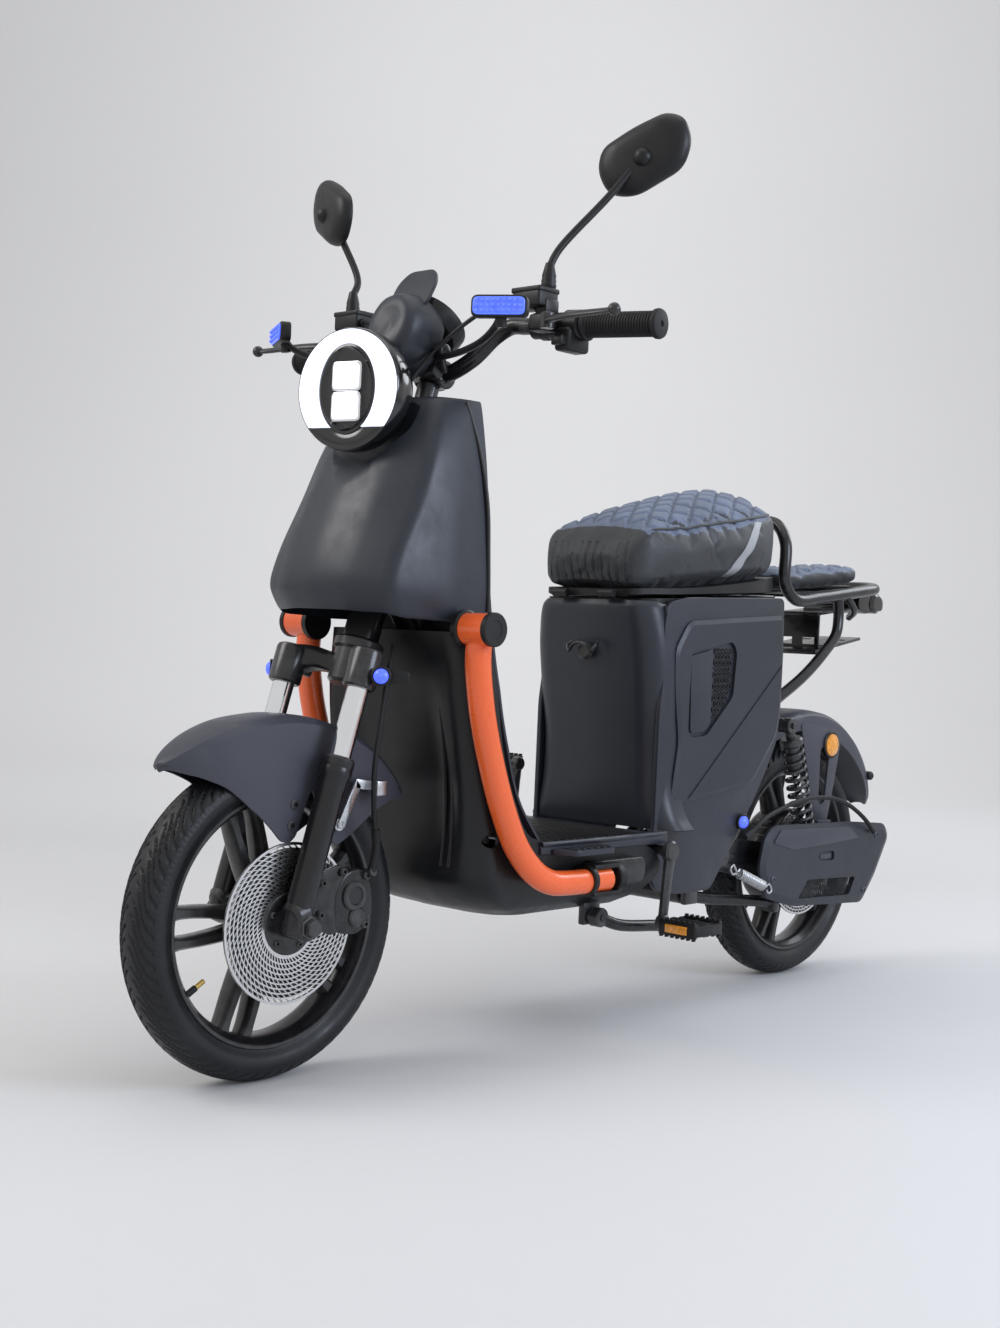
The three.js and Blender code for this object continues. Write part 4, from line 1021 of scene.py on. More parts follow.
def build_front_cover():
    """The cover under the headlamp: a hollow shell with a flared seat for the lamp."""
    look = finishes()
    outer = [
        (583, 84, 106, 110, 124, 178, 130, 251), (590, 68, 113, 101, 128, 178, 130, 251),
        (605, 59, 117, 91, 131, 180, 130, 251), (625, 54, 119, 84, 132, 181, 130, 251),
        (665, 62, 118, 95, 130, 184, 128, 251), (741, 92, 116, 133, 124, 192, 122, 251),
        (811, 128, 108, 160, 114, 205, 113, 251), (872, 168, 88, 184, 101, 221, 101, 251),
        (876, 174, 84, 190, 98, 224, 99, 251)
    ]
    inner = [
        (560, 72, 102, 108, 124, 180, 126, 275), (605, 63, 113, 95, 127, 182, 126, 275),
        (665, 66, 114, 99, 126, 188, 124, 275), (735, 94, 112, 135, 120, 196, 118, 275),
        (765, 130, 106, 150, 114, 202, 113, 275), (785, 176, 98, 180, 110, 208, 110, 275),
        (869, 178, 84, 190, 96, 226, 96, 275)
    ]
    bm = shape()
    cover_solid(bm, outer, 40)
    cover = finished(
        "headstock_cover", bm, "chassis", "shell", look["shell"], hides=("front_cover",), crease=30
    )
    bm = shape()
    cover_solid(bm, inner, 30)
    carved(cover, bm)
    bm = shape()
    flare = [
        (0, 0), (0, 150), (66, 150), (76, 128), (88, 112), (100, 98), (110, 90), (120, 86), (134, 84),
        (151, 71), (151, 0)
    ]
    lathe(bm, (0, 20, LAMP_Z), (0, 200, LAMP_Z), flare, 96)
    carved(cover, bm)
    bm = shape()
    rod(bm, from_axis(0, 0, 200), from_axis(0, 0, 420), 26, steps=64)
    carved(cover, bm)
    if len(cover.data.polygons) < 400:
        raise RuntimeError("the front cover lost its shell in a cut")
    cover.data.shade_smooth()
    cover.data.set_sharp_from_angle(angle=math.radians(30))


def build_lower_cowl():
    """The black lower cowl: ribbed front, wheel channel, belly and screw wells."""
    look = finishes()
    rows = [
        (572, 190, 60, 112, 196, 132, 252), (500, 205, 70, 120, 200, 144, 260),
        (420, 226, 74, 124, 210, 146, 274), (350, 236, 74, 124, 222, 146, 302),
        (300, 233, 72, 122, 228, 146, 338), (271, 230, 66, 118, 232, 146, 600),
        (240, 232, 60, 112, 240, 144, 628), (208, 262, 54, 96, 272, 128, 610), (186, 330, 46, 80, 340, 98, 570)
    ]
    rings = []
    for z, cy, cx, sx, sy, wx, ry in rows:
        half = [(wx, ry, z), (wx, sy + 26, z), (sx, sy, z), (cx, cy, z), (0, cy, z)]
        ring = half + [(-x, y, z) for x, y, z in reversed(half[:-1])]
        rings.append(ring)
    bm = shape()
    smooth = [rounded([Vector(p) for p in ring], 13, 4, closed=False) for ring in levels_between(rings, 44)]
    skin(bm, smooth, closed=False, capped=False)
    bottom = smooth[-1]
    bm.verts.ensure_lookup_table()
    rim = [e for e in bm.edges if e.is_boundary and all(abs(v.co.z - bottom[0].z * MM) < 1e-5 for v in e.verts)]
    ends = sorted(
        {v for e in rim for v in e.verts if sum(k in rim for k in v.link_edges) == 1}, key=lambda v: v.co.x
    )
    if len(ends) == 2:
        bm.edges.new(ends)
        rim = [
            e
            for e in bm.edges if not e.link_faces or (e.is_boundary and all(abs(v.co.z - bottom[0].z * MM) < 1e-5 for v in e.verts))
        ]
        bmesh.ops.contextual_create(bm, geom=rim)
    bmesh.ops.recalc_face_normals(bm, faces=bm.faces)
    if sum(f.normal.z for f in bm.faces if f.calc_center_median().z < 0.2) > 0:
        bmesh.ops.reverse_faces(bm, faces=bm.faces)
    bmesh.ops.solidify(bm, geom=list(bm.faces), thickness=3.4 * MM)
    cowl = finished(
        "lower_leg_cowl", bm, "chassis", "black_plastic", look["cowl"], hides=("lower_cowl",), crease=32
    )
    bm = shape()
    for side in (1, -1):
        for y, z in ((232, 512), (262, 300)):
            rod(bm, (120 * side, y - 14, z), (160 * side, y + 6, z), 9.5, steps=32)
        lathe(bm, (125 * side, 630, 264), (165 * side, 630, 264), [(0, 0), (0, 14), (40, 14), (40, 0)], 32)
    carved(cowl, bm)
    cowl.data.set_sharp_from_angle(angle=math.radians(32))
    bm = shape()
    for side in (1, -1):
        for low, high, x in ((575, 262, 86), (575, 262, 100)):
            ribs = [
                (x * 0.82, 199, 566), (x, 207, 500), (x * 1.02, 221, 420), (x * 1.02, 229, 350), (x, 231, 300),
                (x * 0.96, 231, 262)
            ]
            tube(bm, sided(ribs, side), 2.6, 8, 30)
        for y, z in ((232, 512), (262, 300)):
            screw(bm, (133 * side, y - 2, z), (side, -0.35, 0), 6, 2)
    finished("cowl_ribs", bm, "chassis", "black_plastic", look["cowl"])


def build_leg_shield():
    """The inner leg shield facing the rider, its edge strip and cable cover."""
    look = finishes()
    profile = [(256, 862), (256, 576), (262, 502), (279, 424), (306, 352), (352, 293)]
    wide = [(92, 862), (127, 600), (142, 500), (146, 420), (146, 350), (146, 293)]
    bm = shape()
    rows = []
    for y, z in ((p[1], p[2]) for p in spline([Vector((0, y, z)) for y, z in profile], 36)):
        k = next((i for i in range(len(wide) - 1) if wide[i + 1][1] <= z), len(wide) - 2)
        t = (wide[k][1] - z) / (wide[k][1] - wide[k + 1][1])
        x = wide[k][0] + (wide[k + 1][0] - wide[k][0]) * max(0, min(1, t))
        rows.append([(-x, y + 1, z), (-x + 10, y - 3, z), (0, y - 3, z), (x - 10, y - 3, z), (x, y + 1, z), (x, y + 5, z), (x - 12, y + 3.5, z), (0, y + 3.5, z), (12 - x, y + 3.5, z), (-x, y + 5, z)])
    skin(bm, rows)
    box(bm, (-34, 258, 600), (34, 268, 800), 4, 3)
    for side in (1, -1):
        for z in (820, 640, 520):
            screw(bm, (80 * side if z > 600 else 118 * side, 260 if z > 560 else 266, z), (0, 1, 0), 5, 2)
    rod(bm, (0, 262, 830), (0, 273, 830), 13, steps=32)
    finished("rider_side_shield", bm, "chassis", "shell", look["shell"], hides=("inner_leg_shield",), crease=30)
    bm = shape()
    for side in (1, -1):
        edge = [(99, 224, 872), (113, 238, 812), (124, 246, 742), (128, 248, 670), (131, 249, 600)]
        tube(bm, sided(edge, side), 3.2, 10, 30)
    finished("shield_edge_strip", bm, "chassis", "black_plastic", look["plastic"])


def build_floor():
    """The ribbed footboard with its edge band and folding side treads."""
    look = finishes()
    top = 290
    bm = shape()
    outline = [(150, 354), (150, 636), (-150, 636), (-150, 354)]
    slab(bm, [(x, y, top - 15) for x, y in outline], (0, 0, 13), 2.5, 3)
    for side in (1, -1):
        rim = [(148 * side, 356, top - 1), (148 * side, 500, top - 1), (146 * side, 634, top - 1)]
        tube(bm, rim, 4.2, 12, 24)
        tread = rounded(
            [
                (150 * side, 372, 0), (184 * side, 392, 0), (184 * side, 470, 0), (170 * side, 484, 0),
                (150 * side, 486, 0)
            ],
            7, 4
        )
        slab(bm, [(p[0], p[1], top - 15) for p in tread], (0, 0, 8), 1.5)
        for k in range(6):
            rod(bm, (154 * side, 396 + 14 * k, top - 7), (180 * side, 398 + 14 * k, top - 7), 2.2, steps=10)
    bmesh.ops.bisect_plane(
        bm, geom=list(bm.verts) + list(bm.edges) + list(bm.faces), plane_co=at((0, 0, top - 14.8)),
        plane_no=(0, 0, 1)
    )
    finished("footboard", bm, "chassis", "shell", look["shell"], hides=("floorboard",), crease=30)
    bm = shape()
    for k in range(15):
        y = 372 + 16 * k
        wide = 128
        ring = rounded([(-wide, y - 4, 0), (wide, y - 4, 0), (wide, y + 4, 0), (-wide, y + 4, 0)], 3.9, 4)
        slab(bm, [(p[0], p[1], top - 2.2) for p in ring], (0, 0, 2.2), 0.8)
    finished("footboard_ribs", bm, "chassis", "shell", look["plastic"])


TOWER = [
    (291, 640, 148), (310, 636, 136), (345, 634, 124), (415, 633, 120), (500, 622, 123), (575, 611, 121),
    (622, 606, 112), (631, 609, 106)
]


def build_tower():
    """The front of the seat tower, with its hook and collar."""
    look = finishes()
    rings = []
    for z, yf, w in TOWER:
        half = [(w, yf + 62, z), (w, yf + 24, z), (w * 0.78, yf + 3, z), (0, yf, z)]
        rings.append(half + [(-x, y, q) for x, y, q in reversed(half[:-1])])
    bm = shape()
    rows = [rounded([Vector(p) for p in ring], 16, 5, closed=False) for ring in levels_between(rings, 40)]
    skin(bm, rows, closed=False, capped=False)
    bmesh.ops.recalc_face_normals(bm, faces=bm.faces)
    if sum(f.normal.y for f in bm.faces if abs(f.calc_center_median().x) < 0.03) > 0:
        bmesh.ops.reverse_faces(bm, faces=bm.faces)
    bmesh.ops.solidify(bm, geom=list(bm.faces), thickness=3.4 * MM)
    finished("tower_front", bm, "chassis", "shell", look["shell"], hides=("tower_front_panel",), crease=30)
    bm = shape()
    collar = [(88, 622), (108, 640), (112, 700), (112, 950), (-112, 950), (-112, 700), (-108, 640), (-88, 622)]
    collar = rounded([(x, y, 0) for x, y in collar], 12, 4)
    slab(bm, [(p.x, p.y, 610) for p in collar], (0, 0, 24), 0)
    for v in bm.verts:
        if v.co.z > 0.62:
            v.co.z += (v.co.y - AXLE_Y - 0.622) * 0.055
    finished("tower_collar", bm, "chassis", "black_plastic", look["plastic"])
    bm = shape()
    hook = [
        (-26, 603, 566), (-27, 596, 560), (-22, 593, 552), (-12, 592, 562), (0, 592, 565), (12, 592, 562),
        (22, 593, 552), (27, 596, 560), (26, 603, 566)
    ]
    tube(bm, hook, 2.6, 12, 40)
    lathe(bm, (0, 608, 552), (0, 598, 552), [(0, 0), (0, 13), (6, 12), (7.5, 10), (7.5, 0)], 32)
    finished("bag_hook", bm, "chassis", "black_metal", look["metal"])


def build_side_panels():
    """Side panels with a raised insert, a diagonal crease and a meshed vent."""
    look = finishes()
    edge = [
        (652, 630), (700, 640), (958, 650), (962, 560), (961, 470), (955, 420), (926, 368), (890, 316),
        (852, 276), (824, 234), (788, 190), (700, 190), (648, 200), (628, 236), (640, 292)
    ]
    edge += [(640, 345), (640, 415), (640, 470), (648, 530), (644, 590)]
    insert = [
        (668, 560), (700, 604), (952, 622), (956, 545), (955, 470), (948, 428), (884, 352), (682, 326),
        (672, 336), (686, 420), (672, 500)
    ]
    vent = [(706, 556), (812, 576), (824, 560), (818, 490), (752, 430), (712, 428), (704, 440)]
    for name, side in SIDES.items():
        bm = shape()
        outline = [(p[1], p[2]) for p in rounded([(0, y, z) for y, z in edge], 12, 4)]
        plate(bm, outline, 113 * side, 121 * side, 1.6, 3)
        finished(
            f"side_panel_base_{name}", bm, "chassis", "shell", look["shell"], hides=(f"side_panel_{name}",),
            crease=30
        )
        bm = shape()
        outline = [(p[1], p[2]) for p in rounded([(0, y, z) for y, z in insert], 14, 5)]
        plate(bm, outline, 119 * side, 124.2 * side, 0)
        faces = [f for f in bm.faces if abs(f.normal.x) > 0.9 and f.calc_center_median().x * side > 0.122]
        bmesh.ops.inset_region(bm, faces=faces, thickness=7 * MM, depth=2.6 * MM, use_even_offset=True)
        panel = finished(f"side_insert_{name}", bm, "chassis", "shell", look["shell"], crease=12)
        bm = shape()
        hollow = [(p[1], p[2]) for p in rounded([(0, y, z) for y, z in vent], 9, 4)]
        plate(bm, hollow, 121.5 * side, 140 * side, 0)
        crease = [(680, 318), (688, 322), (962, 556), (962, 549), (690, 314)]
        plate(bm, crease, 125.2 * side, 140 * side, 0)
        carved(panel, bm)
        panel.data.set_sharp_from_angle(angle=math.radians(14))
        bm = shape()
        inner = [
            (p[1], p[2])
            for p in rounded(
                [(0, y, z) for y, z in [(708, 552), (764, 563), (764, 446), (750, 436), (714, 434)]], 7, 4
            )
        ]
        plate(bm, inner, 119 * side, 124.6 * side, 1.4, 3)
        finished(f"vent_blade_{name}", bm, "chassis", "shell", look["shell"], crease=30)
        bm = shape()
        for i in range(5):
            for j in range(13):
                y, z = 773 + i * 9.5 + (j % 2) * 4.7, 452 + j * 9
                if y > 812 or z > 562 or z < 440 + (y - 757) * 0.95:
                    continue
                lathe(
                    bm, (121.6 * side, y, z), (123.2 * side, y, z),
                    [(0, 2.9), (0, 4.6), (1.6, 4.6), (1.6, 2.9)], 6, closed=True
                )
        for j in range(10):
            z = 446 + j * 12.5
            rod(bm, (122 * side, 768 + max(0, (440 - z) * 0.5), z), (122 * side, 818, z + 3), 1.1, steps=8)
        finished(f"vent_grille_{name}", bm, "chassis", "black_plastic", look["mesh"])


def build_seat_base():
    look = finishes()
    bm = shape()
    rows = []
    for y, low, high, w in (
        (606, 636, 647, 66), (612, 636, 648, 84), (636, 638, 650, 98), (680, 640, 652, 112),
        (760, 645, 659, 121), (900, 653, 676, 116), (958, 656, 684, 96)
    ):
        rows.append([(w, y, low + 3), (w, y, high), (-w, y, high), (-w, y, low + 3), (-w + 8, y, low), (w - 8, y, low)])
    skin(bm, levels_between(rows, 24))
    for x in (-45, 45):
        rod(bm, (x - 14, 596, 640), (x + 14, 596, 640), 6.5, steps=24)
    finished("seat_pan", bm, "seat", "black_plastic", look["plastic"], hides=("seat_base",), crease=30)


SEAT = [
    (601, 650, 690, 700, 80), (608, 649, 716, 724, 93), (626, 650, 738, 746, 106), (680, 655, 747, 768, 117),
    (750, 663, 754, 790, 124), (830, 672, 765, 811, 126), (910, 681, 780, 823, 118), (952, 687, 788, 815, 104),
    (970, 696, 772, 788, 88)
]


def seat_point(y, across):
    """Height of the seat's top at a place given by y and by 0 to 1 across its half width."""
    for a, b in zip(SEAT, SEAT[1:]):
        if y <= b[0]:
            break
    t = max(0, min(1, (y - a[0]) / (b[0] - a[0])))
    edge, crown, half = (a[i] + (b[i] - a[i]) * t for i in (2, 3, 4))
    return crown - (crown - edge) * min(across, 1) ** 2.2, half


def build_seat(sizes):
    """The seat: an inflated vinyl body, quilted woven top, piping, ribs and stripes."""
    look = finishes()
    rings = []
    for y, low, edge, crown, w in SEAT:
        w -= 5
        low += 2
        half = [
            (0, y, low), (w * 0.9, y, low), (w, y, low + 12), (w + 1, y, (low + edge) / 2),
            (w * 0.985, y, edge - 12), (w * 0.86, y, edge - 3),
            (w * 0.45, y, crown - (crown - edge) * 0.26 - 4), (0, y, crown - 4)
        ]
        rings.append(both_halves(half))
    bm = shape()
    skin(bm, levels_between(rings, 36))
    seat = finished(
        "seat_body", bm, "seat", "seat_vinyl", look["vinyl"], look["quilt"], hides=("seat_cushion",), crease=180
    )
    inflate(seat, 5 * MM, 9)
    quilt = seat.data
    for f in quilt.polygons:
        f.material_index = 0
    for v in quilt.vertices:
        x, y, z = v.co.x / MM, (v.co.y - AXLE_Y) / MM, v.co.z / MM
        top, half = seat_point(y, 0)
        u = abs(x) / half
        if v.normal.z > 0.45 and z > 700 and u < 0.9:
            q = sizes.quilt_pitch / MM
            a, b = (x + y * 0.62) / q, (x - y * 0.62) / q
            groove = min(abs(a - round(a)), abs(b - round(b))) * 2
            fade = min(1, (0.9 - u) / 0.12) * min(1, max(0, (y - 628) / 14))
            v.co.z -= (1 - min(1, groove / 0.42)) ** 1.6 * 6.5 * MM * fade - 1.2 * MM * fade
        elif y < 625 and z < 725 and abs(x) < 74:
            groove = abs(math.sin(x / 14.5 * math.pi))
            v.co.y += (1 - min(1, groove / 0.35)) ** 1.5 * 3 * MM
    # Upward faces of the quilted top take the bluish top finish. Its colour is painted sky reflection; the quilting
    # itself is real.
    for f in quilt.polygons:
        c = f.center
        x, y, z = abs(c.x) / MM, (c.y - AXLE_Y) / MM, c.z / MM
        half = seat_point(y, 0)[1]
        if f.normal.z > 0.45 and z > 700 and x < half * 0.9 and y > 626:
            f.material_index = 1
    for side in (1, -1):
        surface_strip(seat, side, look)
    bm = shape()
    line = []
    for k in range(60):
        y = 622 + (962 - 622) * k / 59
        z, half = seat_point(y, 0.93)
        line.append((half * 0.93, y, z))
    loop = line + [(-x, y, z) for x, y, z in reversed(line)]
    tree = seat_tree(seat)
    path = [closest(tree, p) for p in loop]
    for _ in range(3):
        path = [(path[i - 1] + path[i] * 2 + path[(i + 1) % len(path)]) / 4 for i in range(len(path))]
    tube(bm, path, 2.3, 8, closed=True)
    finished("seat_piping", bm, "seat", "seat_vinyl", look["vinyl"])


def seat_tree(piece):

    return BVHTree.FromPolygons([v.co for v in piece.data.vertices], [p.vertices for p in piece.data.polygons])


def closest(tree, point, lift=0.4):
    """The nearest place on a surface to a layout point, raised a little from it."""
    place, normal, _, _ = tree.find_nearest(at(point))
    place = place + normal * lift * MM
    return Vector((place.x / MM, (place.y - AXLE_Y) / MM, place.z / MM))


def surface_strip(seat, side, look):
    """The pale stripe sewn on the seat's side, lying on its surface."""
    tree = seat_tree(seat)
    rows = []
    for k in range(15):
        t = k / 14
        z = 676 + 92 * t
        y = 806 + 54 * t + 22 * t * t
        width = 30 - 12 * t
        outer = []
        for m in range(5):
            start = Vector((150 * side, y + width * m / 4, z))
            hit = tree.ray_cast(at(start), Vector((-side, 0, 0)))
            if hit[0] is None:
                hit = tree.find_nearest(at(start))
            outer.append(Vector((hit[0].x / MM + 0.9 * side, start.y, start.z)))
        inner = [p - Vector((3 * side, 0, 0)) for p in reversed(outer)]
        rows.append(outer + inner)
    bm = shape()
    skin(bm, rows)
    finished(
        f"seat_stripe_{'left' if side > 0 else 'right'}", bm, "seat", "seat_vinyl", look["stripe"], crease=60
    )


def inflate(piece, voxel, limit):
    """Pads a piece out with a short cloth simulation, then smooths it."""
    remesh = piece.modifiers.new("remesh", "REMESH")
    remesh.mode = "VOXEL"
    remesh.voxel_size = voxel
    settled(piece)
    rest = [v.co.copy() for v in piece.data.vertices]
    cloth = piece.modifiers.new("padding", "CLOTH")
    cloth.settings.use_pressure = True
    cloth.settings.uniform_pressure_force = 4
    cloth.settings.effector_weights.gravity = 0
    cloth.settings.quality = 4
    cloth.point_cache.frame_start, cloth.point_cache.frame_end = 1, 18
    for number in range(1, 19):
        bpy.context.scene.frame_set(number)
    settled(piece)
    bpy.context.scene.frame_set(1)
    for v, old in zip(piece.data.vertices, rest):
        move = v.co - old
        if move.length > limit * MM:
            v.co = old + move.normalized() * limit * MM
    fine = piece.modifiers.new("fine", "SUBSURF")
    fine.levels = fine.render_levels = 1
    settled(piece)
    piece.data.shade_smooth()


# ---- rear ----
def build_rack(sizes):
    """The grab tube and rack loop, its struts, quilted pad, lamp and plate bracket."""
    look = finishes()
    loop = [
        (0, 1003, 776), (66, 1003, 774), (92, 996, 742), (96, 994, 676), (98, 1022, 651), (98, 1100, 656),
        (98, 1200, 669), (88, 1290, 680), (42, 1326, 684), (0, 1330, 684)
    ]
    bm = shape()
    full = loop + [(-x, y, z) for x, y, z in reversed(loop[1:-1])]
    tube(bm, spline([Vector(p) for p in full + [full[0]]], 150)[:-1], 10, 24, closed=True)
    for side in (1, -1):
        strut = [
            (105, 956, 478), (109, 1042, 524), (105, 1110, 566), (100, 1152, 598), (98, 1160, 625),
            (98, 1156, 662)
        ]
        tube(bm, sided(strut, side), 9, 24, 40)
        tube(bm, sided([(98, 1180, 666), (98, 1210, 640), (70, 1240, 628)], side), 6, 14, 16)
    plate(bm, [(1012, 654), (1300, 682), (1300, 685), (1012, 657)], -88, -62, 0.8)
    plate(bm, [(1012, 654), (1300, 682), (1300, 685), (1012, 657)], 62, 88, 0.8)
    for y in (1030, 1284):
        z = 654 + (y - 1012) * 0.0972
        box(bm, (-90, y - 12, z), (90, y + 12, z + 3.4), 0.8)
    finished("rack_tubes", bm, "chassis", "black_metal", look["metal"], hides=("rack",), crease=35)
    bm = shape()
    rows = []
    for y, w in ((1012, 60), (1018, 74), (1040, 78), (1130, 79), (1230, 78), (1256, 72), (1264, 58)):
        z = 690 + (y - 1012) * 0.0972
        end = 5 if y in (1012, 1264) else 0
        rows.append(both_halves([(0, y, z - 21 + end), (w - 4, y, z - 21 + end), (w, y, z - 16 + end), (w, y, z - 4 - end), (w - 8, y, z + 2 - end), (0, y, z + 3 - end)]))
    skin(bm, levels_between(rows, 26))
    pad = finished(
        "pillion_pad", bm, "chassis", "seat_vinyl", look["vinyl"], look["quilt"], hides=("rack_pad",),
        crease=180
    )
    inflate(pad, 5 * MM, 6)
    for v in pad.data.vertices:
        x, y = v.co.x / MM, (v.co.y - AXLE_Y) / MM
        if v.normal.z > 0.6 and abs(x) < 66 and 1026 < y < 1252:
            q = sizes.quilt_pitch / MM
            a, b = (x + y * 0.7) / q, (x - y * 0.7) / q
            groove = min(abs(a - round(a)), abs(b - round(b))) * 2
            v.co.z -= (1 - min(1, groove / 0.4)) ** 1.6 * 4 * MM
    # Every upward-facing face of the pad takes the bluish top finish; its colour is painted sky reflection.
    for f in pad.data.polygons:
        f.material_index = 1 if f.normal.z > 0.5 else 0
    bm = shape()
    outline = rounded(
        [(0, 1288, 646), (0, 1288, 668), (0, 1350, 676), (0, 1372, 664), (0, 1372, 644), (0, 1310, 636)], 8, 4
    )
    plate(bm, [(p[1], p[2]) for p in outline], -60, 60, 2.5, 4)
    rod(bm, (-66, 1342, 656), (66, 1342, 656), 18, steps=48, edge=5)
    finished("tail_lamp_case", bm, "chassis", "red_lens", look["gloss"], hides=("tail_lamp",), crease=40)
    bm = shape()
    outline = rounded([(-48, 0, 644), (48, 0, 644), (48, 0, 668), (-48, 0, 668)], 9, 5)
    slab(bm, [(p[0], 1366, p[2]) for p in outline], (0, 8, 0), 2, 3)
    for i in range(9):
        for j in range(2):
            ball(bm, (-36 + 9 * i, 1373, 651 + 10 * j), 3.2, detail=2)
    finished("tail_lamp_lens", bm, "chassis", "red_lens", look["red"])
    bm = shape()
    plate(bm, [(1184, 560), (1188, 560), (1188, 634), (1184, 634)], -44, 44, 0.6)
    plate(bm, [(1180, 628), (1276, 640), (1276, 644), (1180, 634)], -44, 44, 0.6)
    bracket = finished("plate_holder", bm, "chassis", "black_metal", look["metal"], hides=("plate_bracket",))
    bm = shape()
    plate(bm, [(1152, 563), (1298, 589), (1298, 594), (1152, 568)], -60, 60, 0.6)
    holder = finished("plate_tab", bm, "chassis", "black_metal", look["metal"])
    bm = shape()
    for side in (1, -1):
        for y in (1200, 1262):
            low, high = sorted((20 * side, 50 * side))
            box(bm, (low, y - 5, 540), (high, y + 5, 620), 0)
    carved(holder, bm)
    bm = shape()
    for side in (1, -1):
        low, high = sorted((10 * side, 36 * side))
        box(bm, (low, 1170, 578), (high, 1200, 590), 0)
    carved(bracket, bm)


def build_rear_fender():
    """The rear mudguard hugging the tyre, its stay, reflector and pointed tail."""
    look = finishes()
    bm = shape()
    stations = [
        (126, 250, 42, 18), (104, 258, 50, 30), (86, 261, 52, 36), (68, 262, 52, 38), (50, 262, 50, 34),
        (34, 262, 45, 26), (24, 266, 34, 18), (18, 275, 16, 9)
    ]
    skin(bm, fender_rows(between(stations, 44), WHEELBASE))
    stay = [
        (0, 1130, 442), (0, 1264, 428), (0, 1256, 380), (0, 1244, 330), (0, 1224, 256), (0, 1176, 250),
        (0, 1164, 340)
    ]
    outline = [(p[1], p[2]) for p in rounded(stay, 12, 4)]
    gap = [
        (p[1], p[2]) for p in rounded([(0, 1196, 400), (0, 1226, 392), (0, 1216, 300), (0, 1196, 296)], 10, 4)
    ]
    for low, high in ((48.8, 52.6), (-52.6, -48.8)):
        plate(bm, outline, low, high, 0.8)
    for side in (1, -1):
        low, high = sorted((48.6 * side, 66 * side))
        box(bm, (low, 1178, 256), (high, 1220, 272), 2)
    guard = finished(
        "rear_mudguard", bm, "swingarm", "fender_grey", look["fender"], hides=("rear_fender",), crease=35
    )
    bm = shape()
    plate(bm, gap, -80, 80, 0)
    carved(guard, bm)
    guard.data.set_sharp_from_angle(angle=math.radians(35))
    bm = shape()
    for side in (1, -1):
        lathe(
            bm, (50 * side, 1228, 402), (60 * side, 1228, 402), [(0, 0), (0, 24), (5, 24), (6, 22.5), (6, 0)],
            44
        )
        rod(bm, (34 * side, 1380, 342), (50 * side, 1380, 342), 8, steps=24, edge=3)
    start = len(bm.faces)
    for side in (1, -1):
        lathe(
            bm, (55 * side, 1228, 402), (60 * side, 1228, 402),
            [(0, 0), (0, 20), (2.5, 19), (4.5, 14), (5.4, 7), (5.6, 0)], 40
        )
    tint(bm, start, 1)
    finished("side_reflectors", bm, "swingarm", "orange_paint", look["plastic"], look["amber"])


